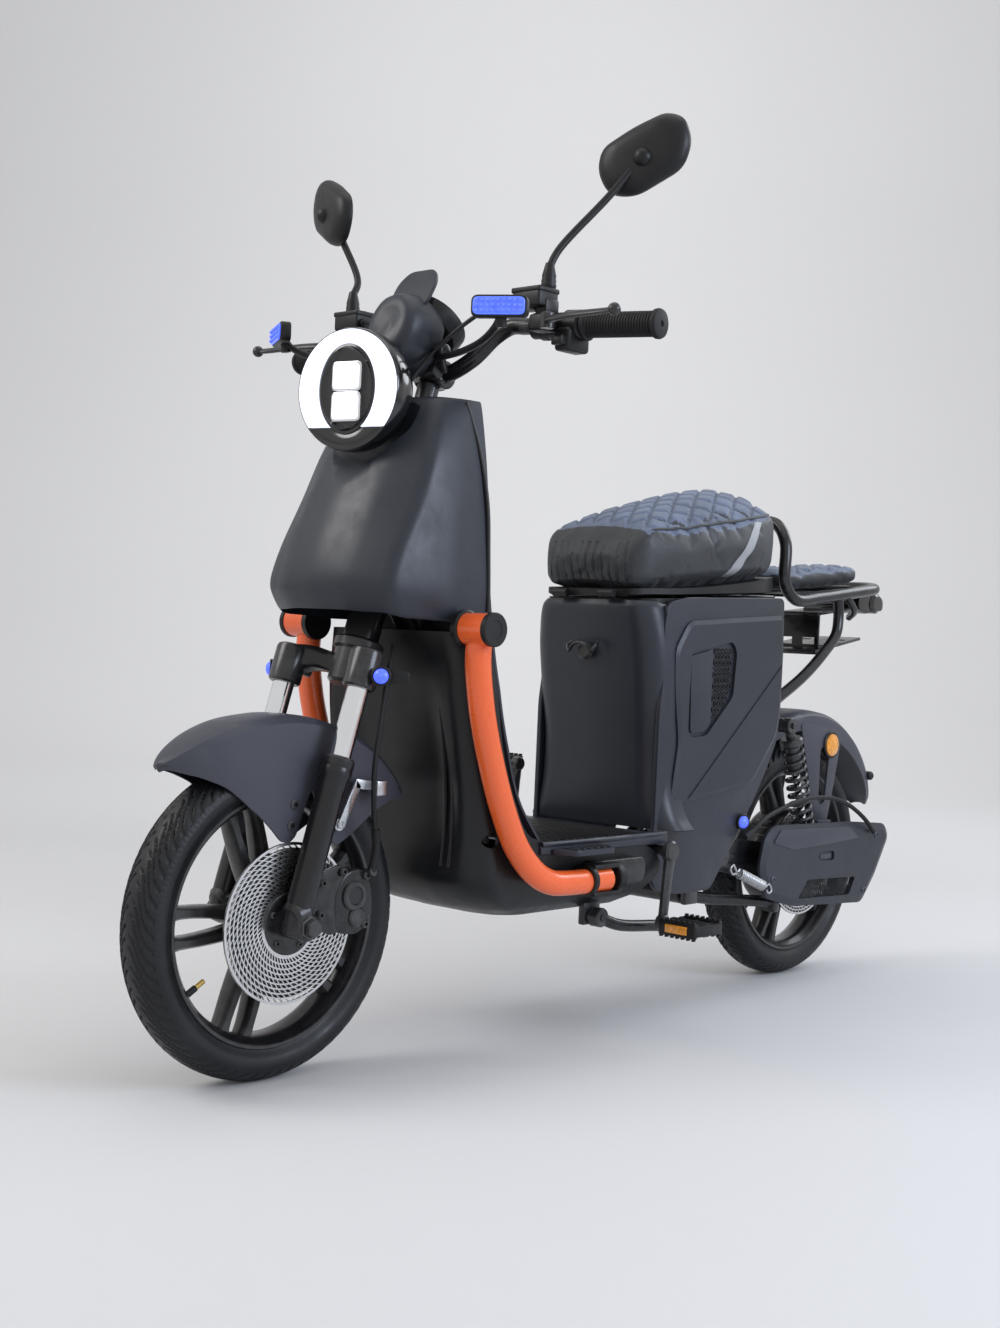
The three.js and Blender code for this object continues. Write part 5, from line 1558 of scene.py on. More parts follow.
def build_swingarm():
    """The swingarm, sculpted drive cover, vent screen and axle."""
    look = finishes()
    refined("swingarm_arms", "swingarm", "swingarm", "alloy", look["alloy"], 2.0)
    bm = shape()
    outline = [
        (952, 258), (976, 278), (1210, 273), (1330, 264), (1346, 240), (1302, 172), (1262, 128), (1040, 140),
        (962, 160), (940, 210)
    ]
    outline = [(p[1], p[2]) for p in rounded([(0, y, z) for y, z in outline], 12, 4)]
    plate(bm, outline, 103, 108, 0)
    faces = [f for f in bm.faces if f.normal.x > 0.9]
    bmesh.ops.inset_region(bm, faces=faces, thickness=12 * MM, depth=4.6 * MM, use_even_offset=True)
    cover = finished(
        "drive_cover", bm, "swingarm", "shell", look["shell"], hides=("swingarm_cover",), crease=14
    )
    bm = shape()
    window = [
        (p[1], p[2]) for p in rounded([(0, 1052, 152), (0, 1214, 146), (0, 1232, 176), (0, 1080, 182)], 6, 3)
    ]
    plate(bm, window, 90, 130, 0)
    slot = [
        (p[1], p[2]) for p in rounded([(0, 1112, 212), (0, 1160, 210), (0, 1160, 226), (0, 1112, 228)], 7, 4)
    ]
    plate(bm, slot, 109, 130, 0)
    carved(cover, bm)
    cover.data.set_sharp_from_angle(angle=math.radians(14))
    bm = shape()
    facet = [
        (p[1], p[2])
        for p in rounded(
            [(0, 972, 250), (0, 990, 270), (0, 1204, 265), (0, 1236, 244), (0, 1120, 238), (0, 1030, 236)], 5, 3
        )
    ]
    plate(bm, facet, 111, 114.4, 1.6, 3)
    plate(
        bm,
        [(p[1], p[2]) for p in rounded([(0, 1118, 214), (0, 1154, 213), (0, 1154, 222), (0, 1118, 223)], 4, 3)],
        108, 110.6, 0.6
    )
    for y, z in ((975, 190), (1296, 246), (1262, 150)):
        screw(bm, (112.6, y, z), (1, 0, 0), 6, 2)
    finished("drive_cover_facet", bm, "swingarm", "shell", look["fender"], crease=25)
    bm = shape()
    made = bmesh.ops.create_grid(bm, x_segments=24, y_segments=5, size=1)["verts"]
    for v in made:
        y = 1144 + v.co.x * 86
        z = 164 + v.co.y * 17 - (v.co.x * 10) ** 2 * 0.04
        v.co = at((104.4, y + v.co.y * 6, z))
    cells = list(bm.faces)
    bmesh.ops.inset_individual(bm, faces=cells, thickness=1.2 * MM, use_even_offset=True)
    bmesh.ops.delete(bm, geom=cells, context="FACES_ONLY")
    thick = bmesh.ops.extrude_face_region(bm, geom=list(bm.faces), use_keep_orig=True)
    bmesh.ops.translate(
        bm, verts=[g for g in thick["geom"] if isinstance(g, bmesh.types.BMVert)], vec=(1.4 * MM, 0, 0)
    )
    finished("vent_screen", bm, "swingarm", "disc_steel", look["zinc"])
    bm = shape()
    for side in (1, -1):
        lathe(
            bm, (90 * side, WHEELBASE, WHEEL_Z), (100 * side, WHEELBASE, WHEEL_Z),
            [(0, 0), (0, 13), (1.5, 14), (9, 14), (10, 12), (10, 0)], 6
        )
    rod(bm, (-95, WHEELBASE, WHEEL_Z), (95, WHEELBASE, WHEEL_Z), 7.8, steps=32)
    finished("rear_spindle", bm, "swingarm", "disc_steel", look["zinc"], hides=("rear_axle",))


def helix(a, b, radius, turns, per=14):
    """Points of a coil between two places."""
    a, b = Vector(a), Vector(b)
    axis = (b - a).normalized()
    u = axis.orthogonal().normalized()
    w = axis.cross(u)
    path = []
    count = int(turns * per)
    for i in range(count + 1):
        t = i / count
        angle = math.tau * turns * t
        path.append(a.lerp(b, t) + (u * math.cos(angle) + w * math.sin(angle)) * radius)
    return path


def build_shocks():
    """Coil-over shocks between frame and swingarm."""
    look = finishes()
    for name, side in SIDES.items():
        x = 84 * side
        top, foot = Vector((x, 1045, 440)), Vector((x, 1118, 222))
        down = (foot - top).normalized()
        bm = shape()
        tube(bm, helix(top + down * 38, top + down * 182, 17, 10), 3.1, 8)
        spring = finished(f"shock_spring_{name}", bm, None, "black_metal", look["metal"], crease=80)
        bm = shape()
        for end, out in ((top, down), (foot, -down)):
            lathe(
                bm, end - Vector((7, 0, 0)), end + Vector((7, 0, 0)),
                [(0, 5.4), (0, 12), (1, 13), (13, 13), (14, 12), (14, 5.4)], 36, closed=True
            )
            rod(bm, end + out * 8, end + out * 30, 8, steps=28)
        rod(bm, top + down * 22, top + down * 36, 19.5, steps=40, edge=3)
        rod(bm, top + down * 34, top + down * 80, 13, steps=36)
        rod(bm, top + down * 184, top + down * 192, 19.5, steps=40, edge=2)
        rod(bm, top + down * 186, top + down * 204, 14, steps=40, edge=2)
        body = finished(f"shock_body_{name}", bm, None, "black_metal", look["metal"], hides=(f"shock_{name}",))
        bm = shape()
        rod(bm, top + down * 60, top + down * 200, 6.5, steps=28)
        piston = finished(f"shock_rod_{name}", bm, None, "chrome", look["chrome"])
        for piece in (spring, body, piston):
            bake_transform(piece)


def build_cables():
    """The front brake hose, the motor cable and the stand's return spring."""
    look = finishes()
    route = [
        (71, 116, 262), (74, 120, 290), (80, 108, 340), (84, 102, 390), (86, 106, 440), (85, 114, 490),
        (78, 128, 530), (68, 142, 552)
    ]
    bm = shape()
    tube(bm, route, 3.4, 14, 70)
    tube(bm, [route[0], (73, 118, 276), (74, 120, 290), (77, 115, 316)], 5.6, 16, 16)
    hose = finished("brake_hose", bm, None, "grip_rubber", look["grip"], hides=("front_brake_hose",))
    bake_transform(hose)
    route = [
        (131, 862, 268), (131, 881, 277), (128, 921, 295), (122, 978, 308), (119, 1036, 318), (118, 1082, 321),
        (118, 1145, 316), (118, 1195, 302), (119, 1247, 275), (119, 1276, 252)
    ]
    bm = shape()
    tube(bm, route, 3.8, 14, 80)
    rod(bm, route[0], route[1], 5.5, steps=20)
    cable = finished("motor_cable", bm, None, "grip_rubber", look["grip"], hides=("rear_brake_cable",))
    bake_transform(cable)
    bm = shape()
    a, b = Vector((112, 862, 214)), Vector((114, 962, 176))
    way = (b - a).normalized()
    tube(bm, helix(a + way * 18, b - way * 18, 7.5, 15, 12), 1.7, 7)
    for end, out in ((a, way), (b, -way)):
        hook = [
            end + out * 18 + Vector((0, 0, 7)), end + out * 12, end + Vector((0, 0, 8)), end - out * 8,
            end + Vector((0, 0, -7)), end + out * 7 + Vector((0, 0, -3))
        ]
        tube(bm, hook, 1.7, 8, 20)
    finished("stand_spring", bm, "chassis", "chrome", look["zinc"], crease=80)


# ---- handlebar ----
def bar(side, x):
    t = (x - 120) / 218
    return Vector((side * x, 284 + 33 * t, 978 - 9.5 * t))


def build_handlebar():
    """Handlebar tube, centre clamp, grips, levers, reservoirs and switches."""
    look = finishes()
    half = [(0, 262, 918), (24, 262, 918), (62, 272, 938), (94, 280, 966), (120, 284, 978), (140, 287, 977.2)]
    bm = shape()
    path = [Vector((-x, y, z)) for x, y, z in reversed(half[1:])] + [Vector(p) for p in half]
    tube(bm, path, 11, 28, 90)
    for side in (1, -1):
        rod(bm, bar(side, 136), bar(side, 337), 11, steps=32)
    rod(bm, from_axis(0, 0, 393), from_axis(0, 0, 424), 26, steps=48, edge=3)
    for x in (-15, 15):
        rod(bm, (x - 9, 262, 918), (x + 9, 262, 918), 19, steps=40, edge=2)
        screw(bm, (x, 246, 932), (0, -0.5, 0.8), 4, 3)
    finished("bar_tube", bm, "steering", "black_metal", look["metal"], hides=("handlebar",))
    for name, side in SIDES.items():
        grip = [(0, 11.7), (0, 18), (1.5, 20), (5, 20), (6.5, 17)]
        for k in range(23):
            grip += [
                (9 + k * 4.1, 16.4), (10.6 + k * 4.1, 16.4), (11.2 + k * 4.1, 15.2), (12.4 + k * 4.1, 15.2)
            ]
        grip += [
            (104, 16.4), (105, 18.8), (109, 19.2), (112, 18), (113, 15), (113, 4), (111, 3.4), (111, 0),
            (109, 0), (109, 11.7)
        ]
        bm = shape()
        start = bar(side, 232)
        lathe(bm, start, bar(side, 345), grip, 64)
        finished(
            f"ribbed_grip_{name}", bm, "throttle" if side < 0 else "steering", "grip_rubber", look["grip"],
            hides=("throttle_grip" if side < 0 else "grip_left",), crease=40
        )
        bm = shape()
        rod(bm, bar(side, 154), bar(side, 198), 17, steps=40, edge=2)
        rod(bm, bar(side, 168), bar(side, 180), 19, steps=40, edge=2)
        low, high = sorted((side * 148, side * 196))
        box(bm, (low, 250, 994), (high, 288, 1016), 3, 3)
        box(bm, (low - 1, 249, 1013), (high + 1, 289, 1020), 2, 3)
        for dx in (-18, 18):
            screw(bm, (side * 172 + dx, 269, 1019.4), (0, 0, 1), 3.4, 1.6)
        low, high = sorted((side * 178, side * 198))
        box(bm, (low, 262, 984), (high, 288, 1006), 3)
        low, high = sorted((side * 178, side * 206))
        box(bm, (low, 250, 962), (high, 278, 984), 4, 3)
        rod(bm, (side * 187, 277, 1000), (side * 187, 277, 1021), 9, steps=28)
        rod(bm, (side * 150, 262, 1003), (side * 138, 258, 1002), 6, steps=20)
        tube(
            bm,
            [
                (side * 140, 258, 1002), (side * 112, 246, 996), (side * 74, 232, 972), (side * 40, 214, 936),
                (side * 24, 190, 896)
            ],
            3, 12, 26
        )
        finished(
            f"brake_reservoir_{name}", bm, "steering", "black_plastic", look["plastic"],
            hides=(f"master_cylinder_{name}",)
        )
        bm = shape()
        blade = [
            (side * 204, 254, 973), (side * 222, 246, 973), (side * 240, 240, 973), (side * 262, 236, 973),
            (side * 290, 234, 972.6), (side * 318, 232, 972), (side * 334, 230, 972)
        ]
        tube(bm, blade, lambda t: 7.5 - 2.6 * t, 16, 34, flat=0.62)
        rod(bm, (side * 210, 252, 963), (side * 210, 252, 983), 9, steps=28)
        ball(bm, (side * 338, 229.5, 972), 8.2)
        finished(
            f"lever_blade_{name}", bm, f"lever_{name}", "black_metal", look["metal"],
            hides=(f"brake_lever_{name}",)
        )
    bm = shape()
    rod(bm, bar(1, 204), bar(1, 230), 20, steps=40, edge=3)
    box(bm, (204, 272, 938), (229, 316, 968), 5, 3)
    box(bm, (208, 262, 944), (226, 276, 956), 2)
    rod(bm, (216, 316, 962), (216, 322, 962), 5, steps=20)
    finished("switch_pod", bm, "steering", "black_plastic", look["plastic"], hides=("switch_block",))
    bm = shape()
    rod(bm, (214, 309, 950), (214, 324, 950), 6.4, steps=28, edge=2)
    finished("horn_cap", bm, "horn_button", "orange_paint", look["orange"], hides=("horn_button",))
    bm = shape()
    rod(bm, bar(-1, 204), bar(-1, 229), 19, steps=40, edge=3)
    box(bm, (-228, 272, 942), (-206, 312, 966), 5, 3)
    finished("throttle_pod", bm, "steering", "black_plastic", look["plastic"])


def build_indicators():
    """Blue-lit indicators: rows of light points in rounded black cases."""
    look = finishes()
    for name, side in SIDES.items():
        turn = Matrix.Rotation(side * math.radians(30), 3, "Z")
        centre = Vector((209 * side, 164, 976))

        def place(x, y, z):
            return centre + turn @ Vector((x * side, y, z))

        bm = shape()
        outline = rounded([(-36, 0, -14), (36, 0, -14), (36, 0, 14), (-36, 0, 14)], 9, 5)
        slab(bm, [place(p[0], 9, p[2]) for p in outline], turn @ Vector((0, -15, 0)), 2.5, 3)
        tube(
            bm,
            sided([(40, 226, 934), (110, 206, 936), (165, 186, 944), (196, 174, 958), (205, 170, 968)], side),
            4.6, 16, 34
        )
        rod(bm, (205 * side, 172, 952), (206 * side, 170, 968), 7, steps=20)
        finished(
            f"indicator_case_{name}", bm, "steering", "black_plastic", look["plastic"],
            hides=(f"indicator_{name}",)
        )
        bm = shape()
        inner = rounded([(-33, 0, -11), (33, 0, -11), (33, 0, 11), (-33, 0, 11)], 7, 5)
        slab(bm, [place(p[0], -5, p[2]) for p in inner], turn @ Vector((0, -3.4, 0)), 1, 2)
        start = len(bm.faces)
        for row in (-6.4, 0, 6.4):
            for k in range(9):
                ball(bm, place(-28 + 7 * k, -8.6, row), 2.5, detail=2)
        tint(bm, start, 1)
        finished(f"indicator_light_{name}", bm, "steering", "led_blue", look["blue_lens"], look["blue_glow"])


def build_mirrors():
    """Mirrors: lofted shells on bent stalks, with rubber boots and glass."""
    look = finishes()
    spots = {"left": ((226, 346, 1150), (252, 380, 1206)), "right": ((226, 284, 1136), (250, 284, 1176))}
    outline = rounded(
        [
            (-62, 0, -30), (-67, 0, 6), (-52, 0, 32), (0, 0, 41), (46, 0, 42), (66, 0, 26), (66, 0, -6),
            (44, 0, -36), (-28, 0, -46)
        ],
        17, 5
    )
    for name, side in SIDES.items():
        neck, head = spots[name]
        turn = Matrix.Rotation(side * math.radians(20), 3, "Z") @ Matrix.Rotation(
            -side * math.radians(20), 3, "Y"
        )
        middle = Vector((head[0] * side, head[1], head[2]))

        def ring(depth, scale):
            return [middle + turn @ Vector((p[0] * side * scale, depth, p[2] * scale)) for p in outline]

        bm = shape()
        skin(
            bm,
            [
                ring(d, s) for d,
                s in (
                    (-13, 0.3), (-12.4, 0.55), (-10.4, 0.76), (-6.4, 0.9), (-1, 0.975), (4, 1), (8, 0.995),
                    (9.4, 0.965), (9.4, 0.93), (7.6, 0.925)
                )
            ]
        )
        stalk = [(187, 277, 1034), (188, 277, 1046), (191, 288, 1070), neck, head]
        tube(bm, sided(stalk, side), 5, 20, 60)
        boot = [
            (0, 0), (0, 9.5), (3, 10.5), (6, 9.5), (9, 10), (12, 9), (15, 9.5), (28, 6.5), (32, 5.5), (32, 0)
        ]
        lathe(bm, (187 * side, 277, 1020.8), (188 * side, 277, 1060), boot, 32)
        ball(bm, middle + turn @ Vector((0, -9, -6)), 13)
        finished(
            f"mirror_shell_{name}", bm, f"mirror_{name}", "black_plastic", look["plastic"],
            hides=(f"mirror_{name}",), crease=40
        )
        bm = shape()
        skin(bm, [ring(7.4, 0.924), ring(8.1, 0.92), ring(8.3, 0.6), ring(8.4, 0.2)])
        finished(f"mirror_glass_{name}", bm, f"mirror_{name}", "chrome", look["mirror"])


def build_instrument():
    """The instrument pod: side shells, round dial in its bezel and a small visor."""
    look = finishes()
    drop = [(0, 1020), (24, 1014), (41, 994), (45, 966), (37, 938), (18, 914), (0, 906)]
    drop = rounded([(x, 0, z) for x, z in drop] + [(-x, 0, z) for x, z in reversed(drop[1:-1])], 16, 4)
    bm = shape()
    rows = []
    for y, scale in (
        (166, 0.3), (166.6, 0.6), (169, 0.8), (174, 0.91), (182, 0.97), (194, 1), (226, 1), (234, 0.97),
        (236, 0.9)
    ):
        rows.append([(p.x * scale, y + (p.z - 966) * 0.16, 966 + (p.z - 966) * scale) for p in drop])
    skin(bm, rows)
    finished("instrument_shell", bm, "steering", "shell", look["shell"], hides=("instrument_pod",), crease=40)
    bm = shape()
    middle, out = Vector((0, 254, 990)), Vector((0, 0.62, 0.78)).normalized()
    lathe(
        bm, middle - out * 26, middle,
        [(0, 0), (0, 36), (4, 44), (18, 49), (27, 49.5), (29, 47), (29, 41), (25, 40), (25, 0)], 72
    )
    start = len(bm.faces)
    lathe(bm, middle - out * 1.4, middle, [(0, 0), (0, 39.8), (1.2, 39.2), (1.5, 30), (1.7, 0)], 64)
    tint(bm, start, 1)
    start = len(bm.faces)
    for k in range(9):
        a = math.radians(200 - 27.5 * k)
        p = middle + Vector((math.cos(a) * 28, 0, 0)) + out.cross(Vector((1, 0, 0))) * (-math.sin(a) * 28) + out * 0.8
        rod(bm, p - out * 0.6, p + out * 0.8, 1.5, steps=10)
    tint(bm, start, 2)
    finished("round_dial", bm, "steering", "shell", look["plastic"], look["screen"], look["stripe"])
    bm = shape()
    arch = rounded([(-38, 0, -8), (-38, 0, 34), (-24, 0, 54), (24, 0, 54), (38, 0, 34), (38, 0, -8)], 16, 5)
    lean = Matrix.Rotation(math.radians(-28), 3, "X")
    rows = []
    for depth, scale in ((0, 0.96), (1, 1), (4, 1), (5, 0.96)):
        rows.append([Vector((0, 206, 1008)) + lean @ Vector((p[0] * scale, depth, p[2] * scale)) for p in arch])
    skin(bm, rows)
    finished("fly_visor", bm, "steering", "shell", look["shell"], crease=30)
    bm = shape()
    for side in (1, -1):
        lathe(bm, (46 * side, 232, 944), (52 * side, 232, 944), [(0, 0), (0, 10), (4, 9), (5, 7), (5, 0)], 28)
        tube(bm, sided([(30, 250, 922), (38, 236, 934), (42, 222, 950)], side), 6, 14, 16)
    rod(bm, (-30, 240, 920), (30, 240, 920), 10, steps=24)
    finished("instrument_stays", bm, "steering", "black_metal", look["metal"])


def lamp_ring(bm, inner, profile, steps=120):
    """A ring between an oval hole and the lamp's round rim; profile is (across, depth)."""
    rows = []
    for k in range(steps):
        a = math.tau * k / steps
        c, s = math.cos(a), math.sin(a)
        near = 1 / math.hypot(c / inner[0], s / inner[1])
        mid, half = (near + 77) / 2, (77 - near) / 2
        rows.append([(c * (mid + u * half), y, LAMP_Z + s * (mid + u * half)) for u, y in profile])
    skin(bm, rows, joined=True)


def build_headlamp():
    """The headlamp: horseshoe light guide, dark oval and twin projectors."""
    look = finishes()
    oval = (43.5, 57.5)
    level = LAMP_Z - 49
    bm = shape()
    shell = [
        (0, 0), (0, 30), (6, 54), (20, 72), (36, 79), (52, 80), (60, 79.6), (64, 78), (64, 75), (60, 75),
        (60, 0)
    ]
    lathe(bm, (0, 160, LAMP_Z), (0, 94, LAMP_Z), shell, 96)
    lamp_turned(bm)
    finished("lamp_bowl", bm, "chassis", "black_plastic", look["gloss"], hides=("headlamp_housing",), crease=40)
    for name, profile, keep_low, material in (
        (
            "light_guide",
            [
                (-1, 104), (-1, 96), (-0.86, 93.6), (-0.4, 91.6), (0, 91.2), (0.4, 91.6), (0.86, 93.6), (1, 96),
                (1, 104)
            ],
            False, look["white_glow"]
        ),
        (
            "lamp_chin", [(-1, 104), (-1, 97), (-0.8, 95.4), (0, 94.6), (0.8, 95.4), (1, 97), (1, 104)], True,
            look["gloss"]
        )
    ):
        bm = shape()
        lamp_ring(bm, oval, profile)
        lamp_turned(bm)
        slot = "black_plastic" if keep_low else "lamp_white"
        ring = finished(
            name, bm, "chassis", slot, material, hides=() if keep_low else ("headlamp_lens",), crease=40
        )
        bm = shape()
        edge = level - 0.6 if keep_low else level
        low, high = (edge, LAMP_Z + 120) if keep_low else (LAMP_Z - 120, edge)
        box(bm, (-120, 60, low), (120, 140, high), 0)
        carved(ring, bm)
        ring.data.set_sharp_from_angle(angle=math.radians(40))
    bm = shape()
    rim = [
        Vector((oval[0] * math.cos(a), 0, oval[1] * math.sin(a)))
        for a in (math.tau * k / 96 for k in range(96))
    ]
    depths = ((1.01, 106), (1.01, 95), (0.95, 94), (0.88, 99), (0.8, 100.6))
    skin(bm, [[Vector((p.x * s, y, LAMP_Z + p.z * s)) for p in rim] for s, y in depths])
    lamp_turned(bm)
    finished("lamp_mask", bm, "chassis", "black_plastic", look["gloss"], crease=40)
    bm = shape()
    for z in (-23, 16):
        bezel = rounded([(-23, 0, z - 19.2), (23, 0, z - 19.2), (23, 0, z + 19.2), (-23, 0, z + 19.2)], 7, 5)
        slab(bm, [(p[0], 101, LAMP_Z + p[2]) for p in bezel], (0, -8, 0), 1.4, 3)
    start = len(bm.faces)
    for z in (-23, 16):
        lens = rounded([(-20, 0, z - 16.4), (20, 0, z - 16.4), (20, 0, z + 16.4), (-20, 0, z + 16.4)], 6, 5)
        slab(bm, [(p[0], 94, LAMP_Z + p[2]) for p in lens], (0, -3.4, 0), 1.6, 3)
    tint(bm, start, 1)
    lamp_turned(bm)
    finished("twin_projectors", bm, "chassis", "lamp_white", look["chrome"], look["led_white"])


def build_marker_lamps():
    """Round blue marker lamps beside the fork and ahead of the rear wheel."""
    look = finishes()
    for name, side in SIDES.items():
        for place, body, spot, out in (
            ("front", "steering", (108, 84, 513), (0.62, -0.78, 0.05)),
            ("rear", "chassis", (128, 862, 292), (1, -0.25, 0))
        ):
            centre = Vector((spot[0] * side, spot[1], spot[2]))
            aim = Vector((out[0] * side, out[1], out[2])).normalized()
            bm = shape()
            lathe(
                bm, centre - aim * 14, centre,
                [(0, 0), (0, 6), (6, 12), (13, 13), (14, 12), (14, 10.5), (12, 10), (12, 0)], 36
            )
            if place == "front":
                slab(
                    bm,
                    [
                        centre - aim * 10 + Vector(p)
                        for p in ((0, 0, 12), (0, 0, -12), (26 * side, 21, -5), (26 * side, 21, 6))
                    ],
                    (0, 2.4, 0), 0.6
                )
                rod(bm, centre - aim * 9, Vector((86 * side, 92, 516)), 5, steps=16)
            else:
                rod(bm, centre - aim * 12, centre - aim * 12 + Vector((-20 * side, 6, 10)), 4, steps=16)
            start = len(bm.faces)
            lathe(bm, centre - aim * 3, centre, [(0, 0), (0, 9.6), (3, 9.4), (6, 7), (7.6, 3.5), (8, 0)], 32)
            tint(bm, start, 1)
            finished(f"{place}_marker_{name}", bm, body, "led_blue", look["plastic"], look["blue_glow"])


# ---- pedals and stands ----
def build_pedals():
    """Crank arms and caged pedals with reflectors."""
    look = finishes()
    crank = Vector((0, 630, 264))
    step = Vector((0, -12, -103))
    bm = shape()
    rod(bm, (-166, 630, 264), (166, 630, 264), 7.9, steps=32)
    for side in (1, -1):
        rod(bm, (153 * side, 630, 264), (167 * side, 630, 264), 16, steps=40, edge=3)
        end = crank + step * side
        rows = []
        for k in range(13):
            t = k / 12
            p = (crank + step * side * t) + Vector((160 * side, 0, 0))
            across = Vector((0, step.z, -step.y)).normalized()
            w, d = 10.5 - 3 * t, 6.2 - 1.2 * math.sin(math.pi * t)
            rows.append([p + Vector((d * c, 0, 0)) + across * (w * s) for c, s in ((1, -0.5), (1, 0.5), (0.5, 1), (-0.5, 1), (-1, 0.5), (-1, -0.5), (-0.5, -1), (0.5, -1))])
        skin(bm, rows)
        rod(bm, (153 * side, end.y, end.z), (168 * side, end.y, end.z), 11, steps=32, edge=2)
        rod(bm, (160 * side, end.y, end.z), (236 * side, end.y, end.z), 5, steps=20)
    finished("crank_arms", bm, "crank", "black_metal", look["metal"], hides=("crankset",), crease=35)
    for name, side in SIDES.items():
        end = crank + step * side
        y, z = end.y, end.z
        bm = shape()
        for dy in (-30, 30):
            low, high = sorted((178 * side, 244 * side))
            box(bm, (low, y + dy - 3.5, z - 11), (high, y + dy + 3.5, z + 11), 2.5, 3)
            for k in range(7):
                x = (182 + 9.6 * k) * side
                slab(
                    bm,
                    [
                        (x - 2, y + dy - 3, z + 11), (x + 2, y + dy - 3, z + 11), (x + 2, y + dy + 3, z + 11),
                        (x - 2, y + dy + 3, z + 11)
                    ],
                    (0, 0, 2.4), 0.5
                )
                slab(
                    bm,
                    [
                        (x - 2, y + dy - 3, z - 13.4), (x + 2, y + dy - 3, z - 13.4),
                        (x + 2, y + dy + 3, z - 13.4), (x - 2, y + dy + 3, z - 13.4)
                    ],
                    (0, 0, 2.4), 0.5
                )
        for x in (180, 206, 232, 242):
            low, high = sorted((side * (x - 3), side * (x + 3)))
            box(bm, (low, y - 32, z - 8), (high, y + 32, z + 8), 2, 2)
        lathe(
            bm, (177 * side, y, z), (244 * side, y, z),
            [(0, 5.4), (0, 10), (3, 11), (60, 11), (66, 9), (67, 6), (67, 0), (60, 0), (60, 5.4)], 32
        )
        start = len(bm.faces)
        for dy in (-34.6, 34.6):
            low, high = sorted((192 * side, 230 * side))
            box(bm, (low, y + dy - 1.6, z - 6), (high, y + dy + 1.6, z + 6), 0.8)
        tint(bm, start, 1)
        finished(
            f"pedal_cage_{name}", bm, f"pedal_{name}", "black_plastic", look["plastic"], look["amber"],
            hides=(f"pedal_{name}",), crease=40
        )


def build_stands():
    """Side stand and centre stand, folded up under the floor."""
    look = finishes()
    bm = shape()
    tube(bm, [(118, 520, 172), (124, 560, 158), (130, 640, 150), (136, 712, 144)], 8.6, 24, 40)
    lathe(
        bm, (108, 520, 172), (127, 520, 172), [(0, 5.4), (0, 13), (1.5, 14), (17.5, 14), (19, 13), (19, 5.4)],
        36, closed=True
    )
    box(bm, (124, 702, 131), (148, 718, 157), 4, 3)
    finished("side_stand_leg", bm, "side_stand", "black_metal", look["metal"], hides=("side_stand",))
    bm = shape()
    for side in (1, -1):
        tube(bm, sided([(52, 800, 172), (62, 880, 160), (82, 985, 150), (88, 1010, 146)], side), 9.6, 24, 40)
        low, high = sorted((75 * side, 100 * side))
        box(bm, (low, 1002, 131), (high, 1018, 157), 4, 3)
    lathe(
        bm, (-60, 800, 172), (60, 800, 172), [(0, 6.4), (0, 12), (1.5, 13), (118.5, 13), (120, 12), (120, 6.4)],
        36, closed=True
    )
    finished("centre_stand_legs", bm, "centre_stand", "black_metal", look["metal"], hides=("centre_stand",))


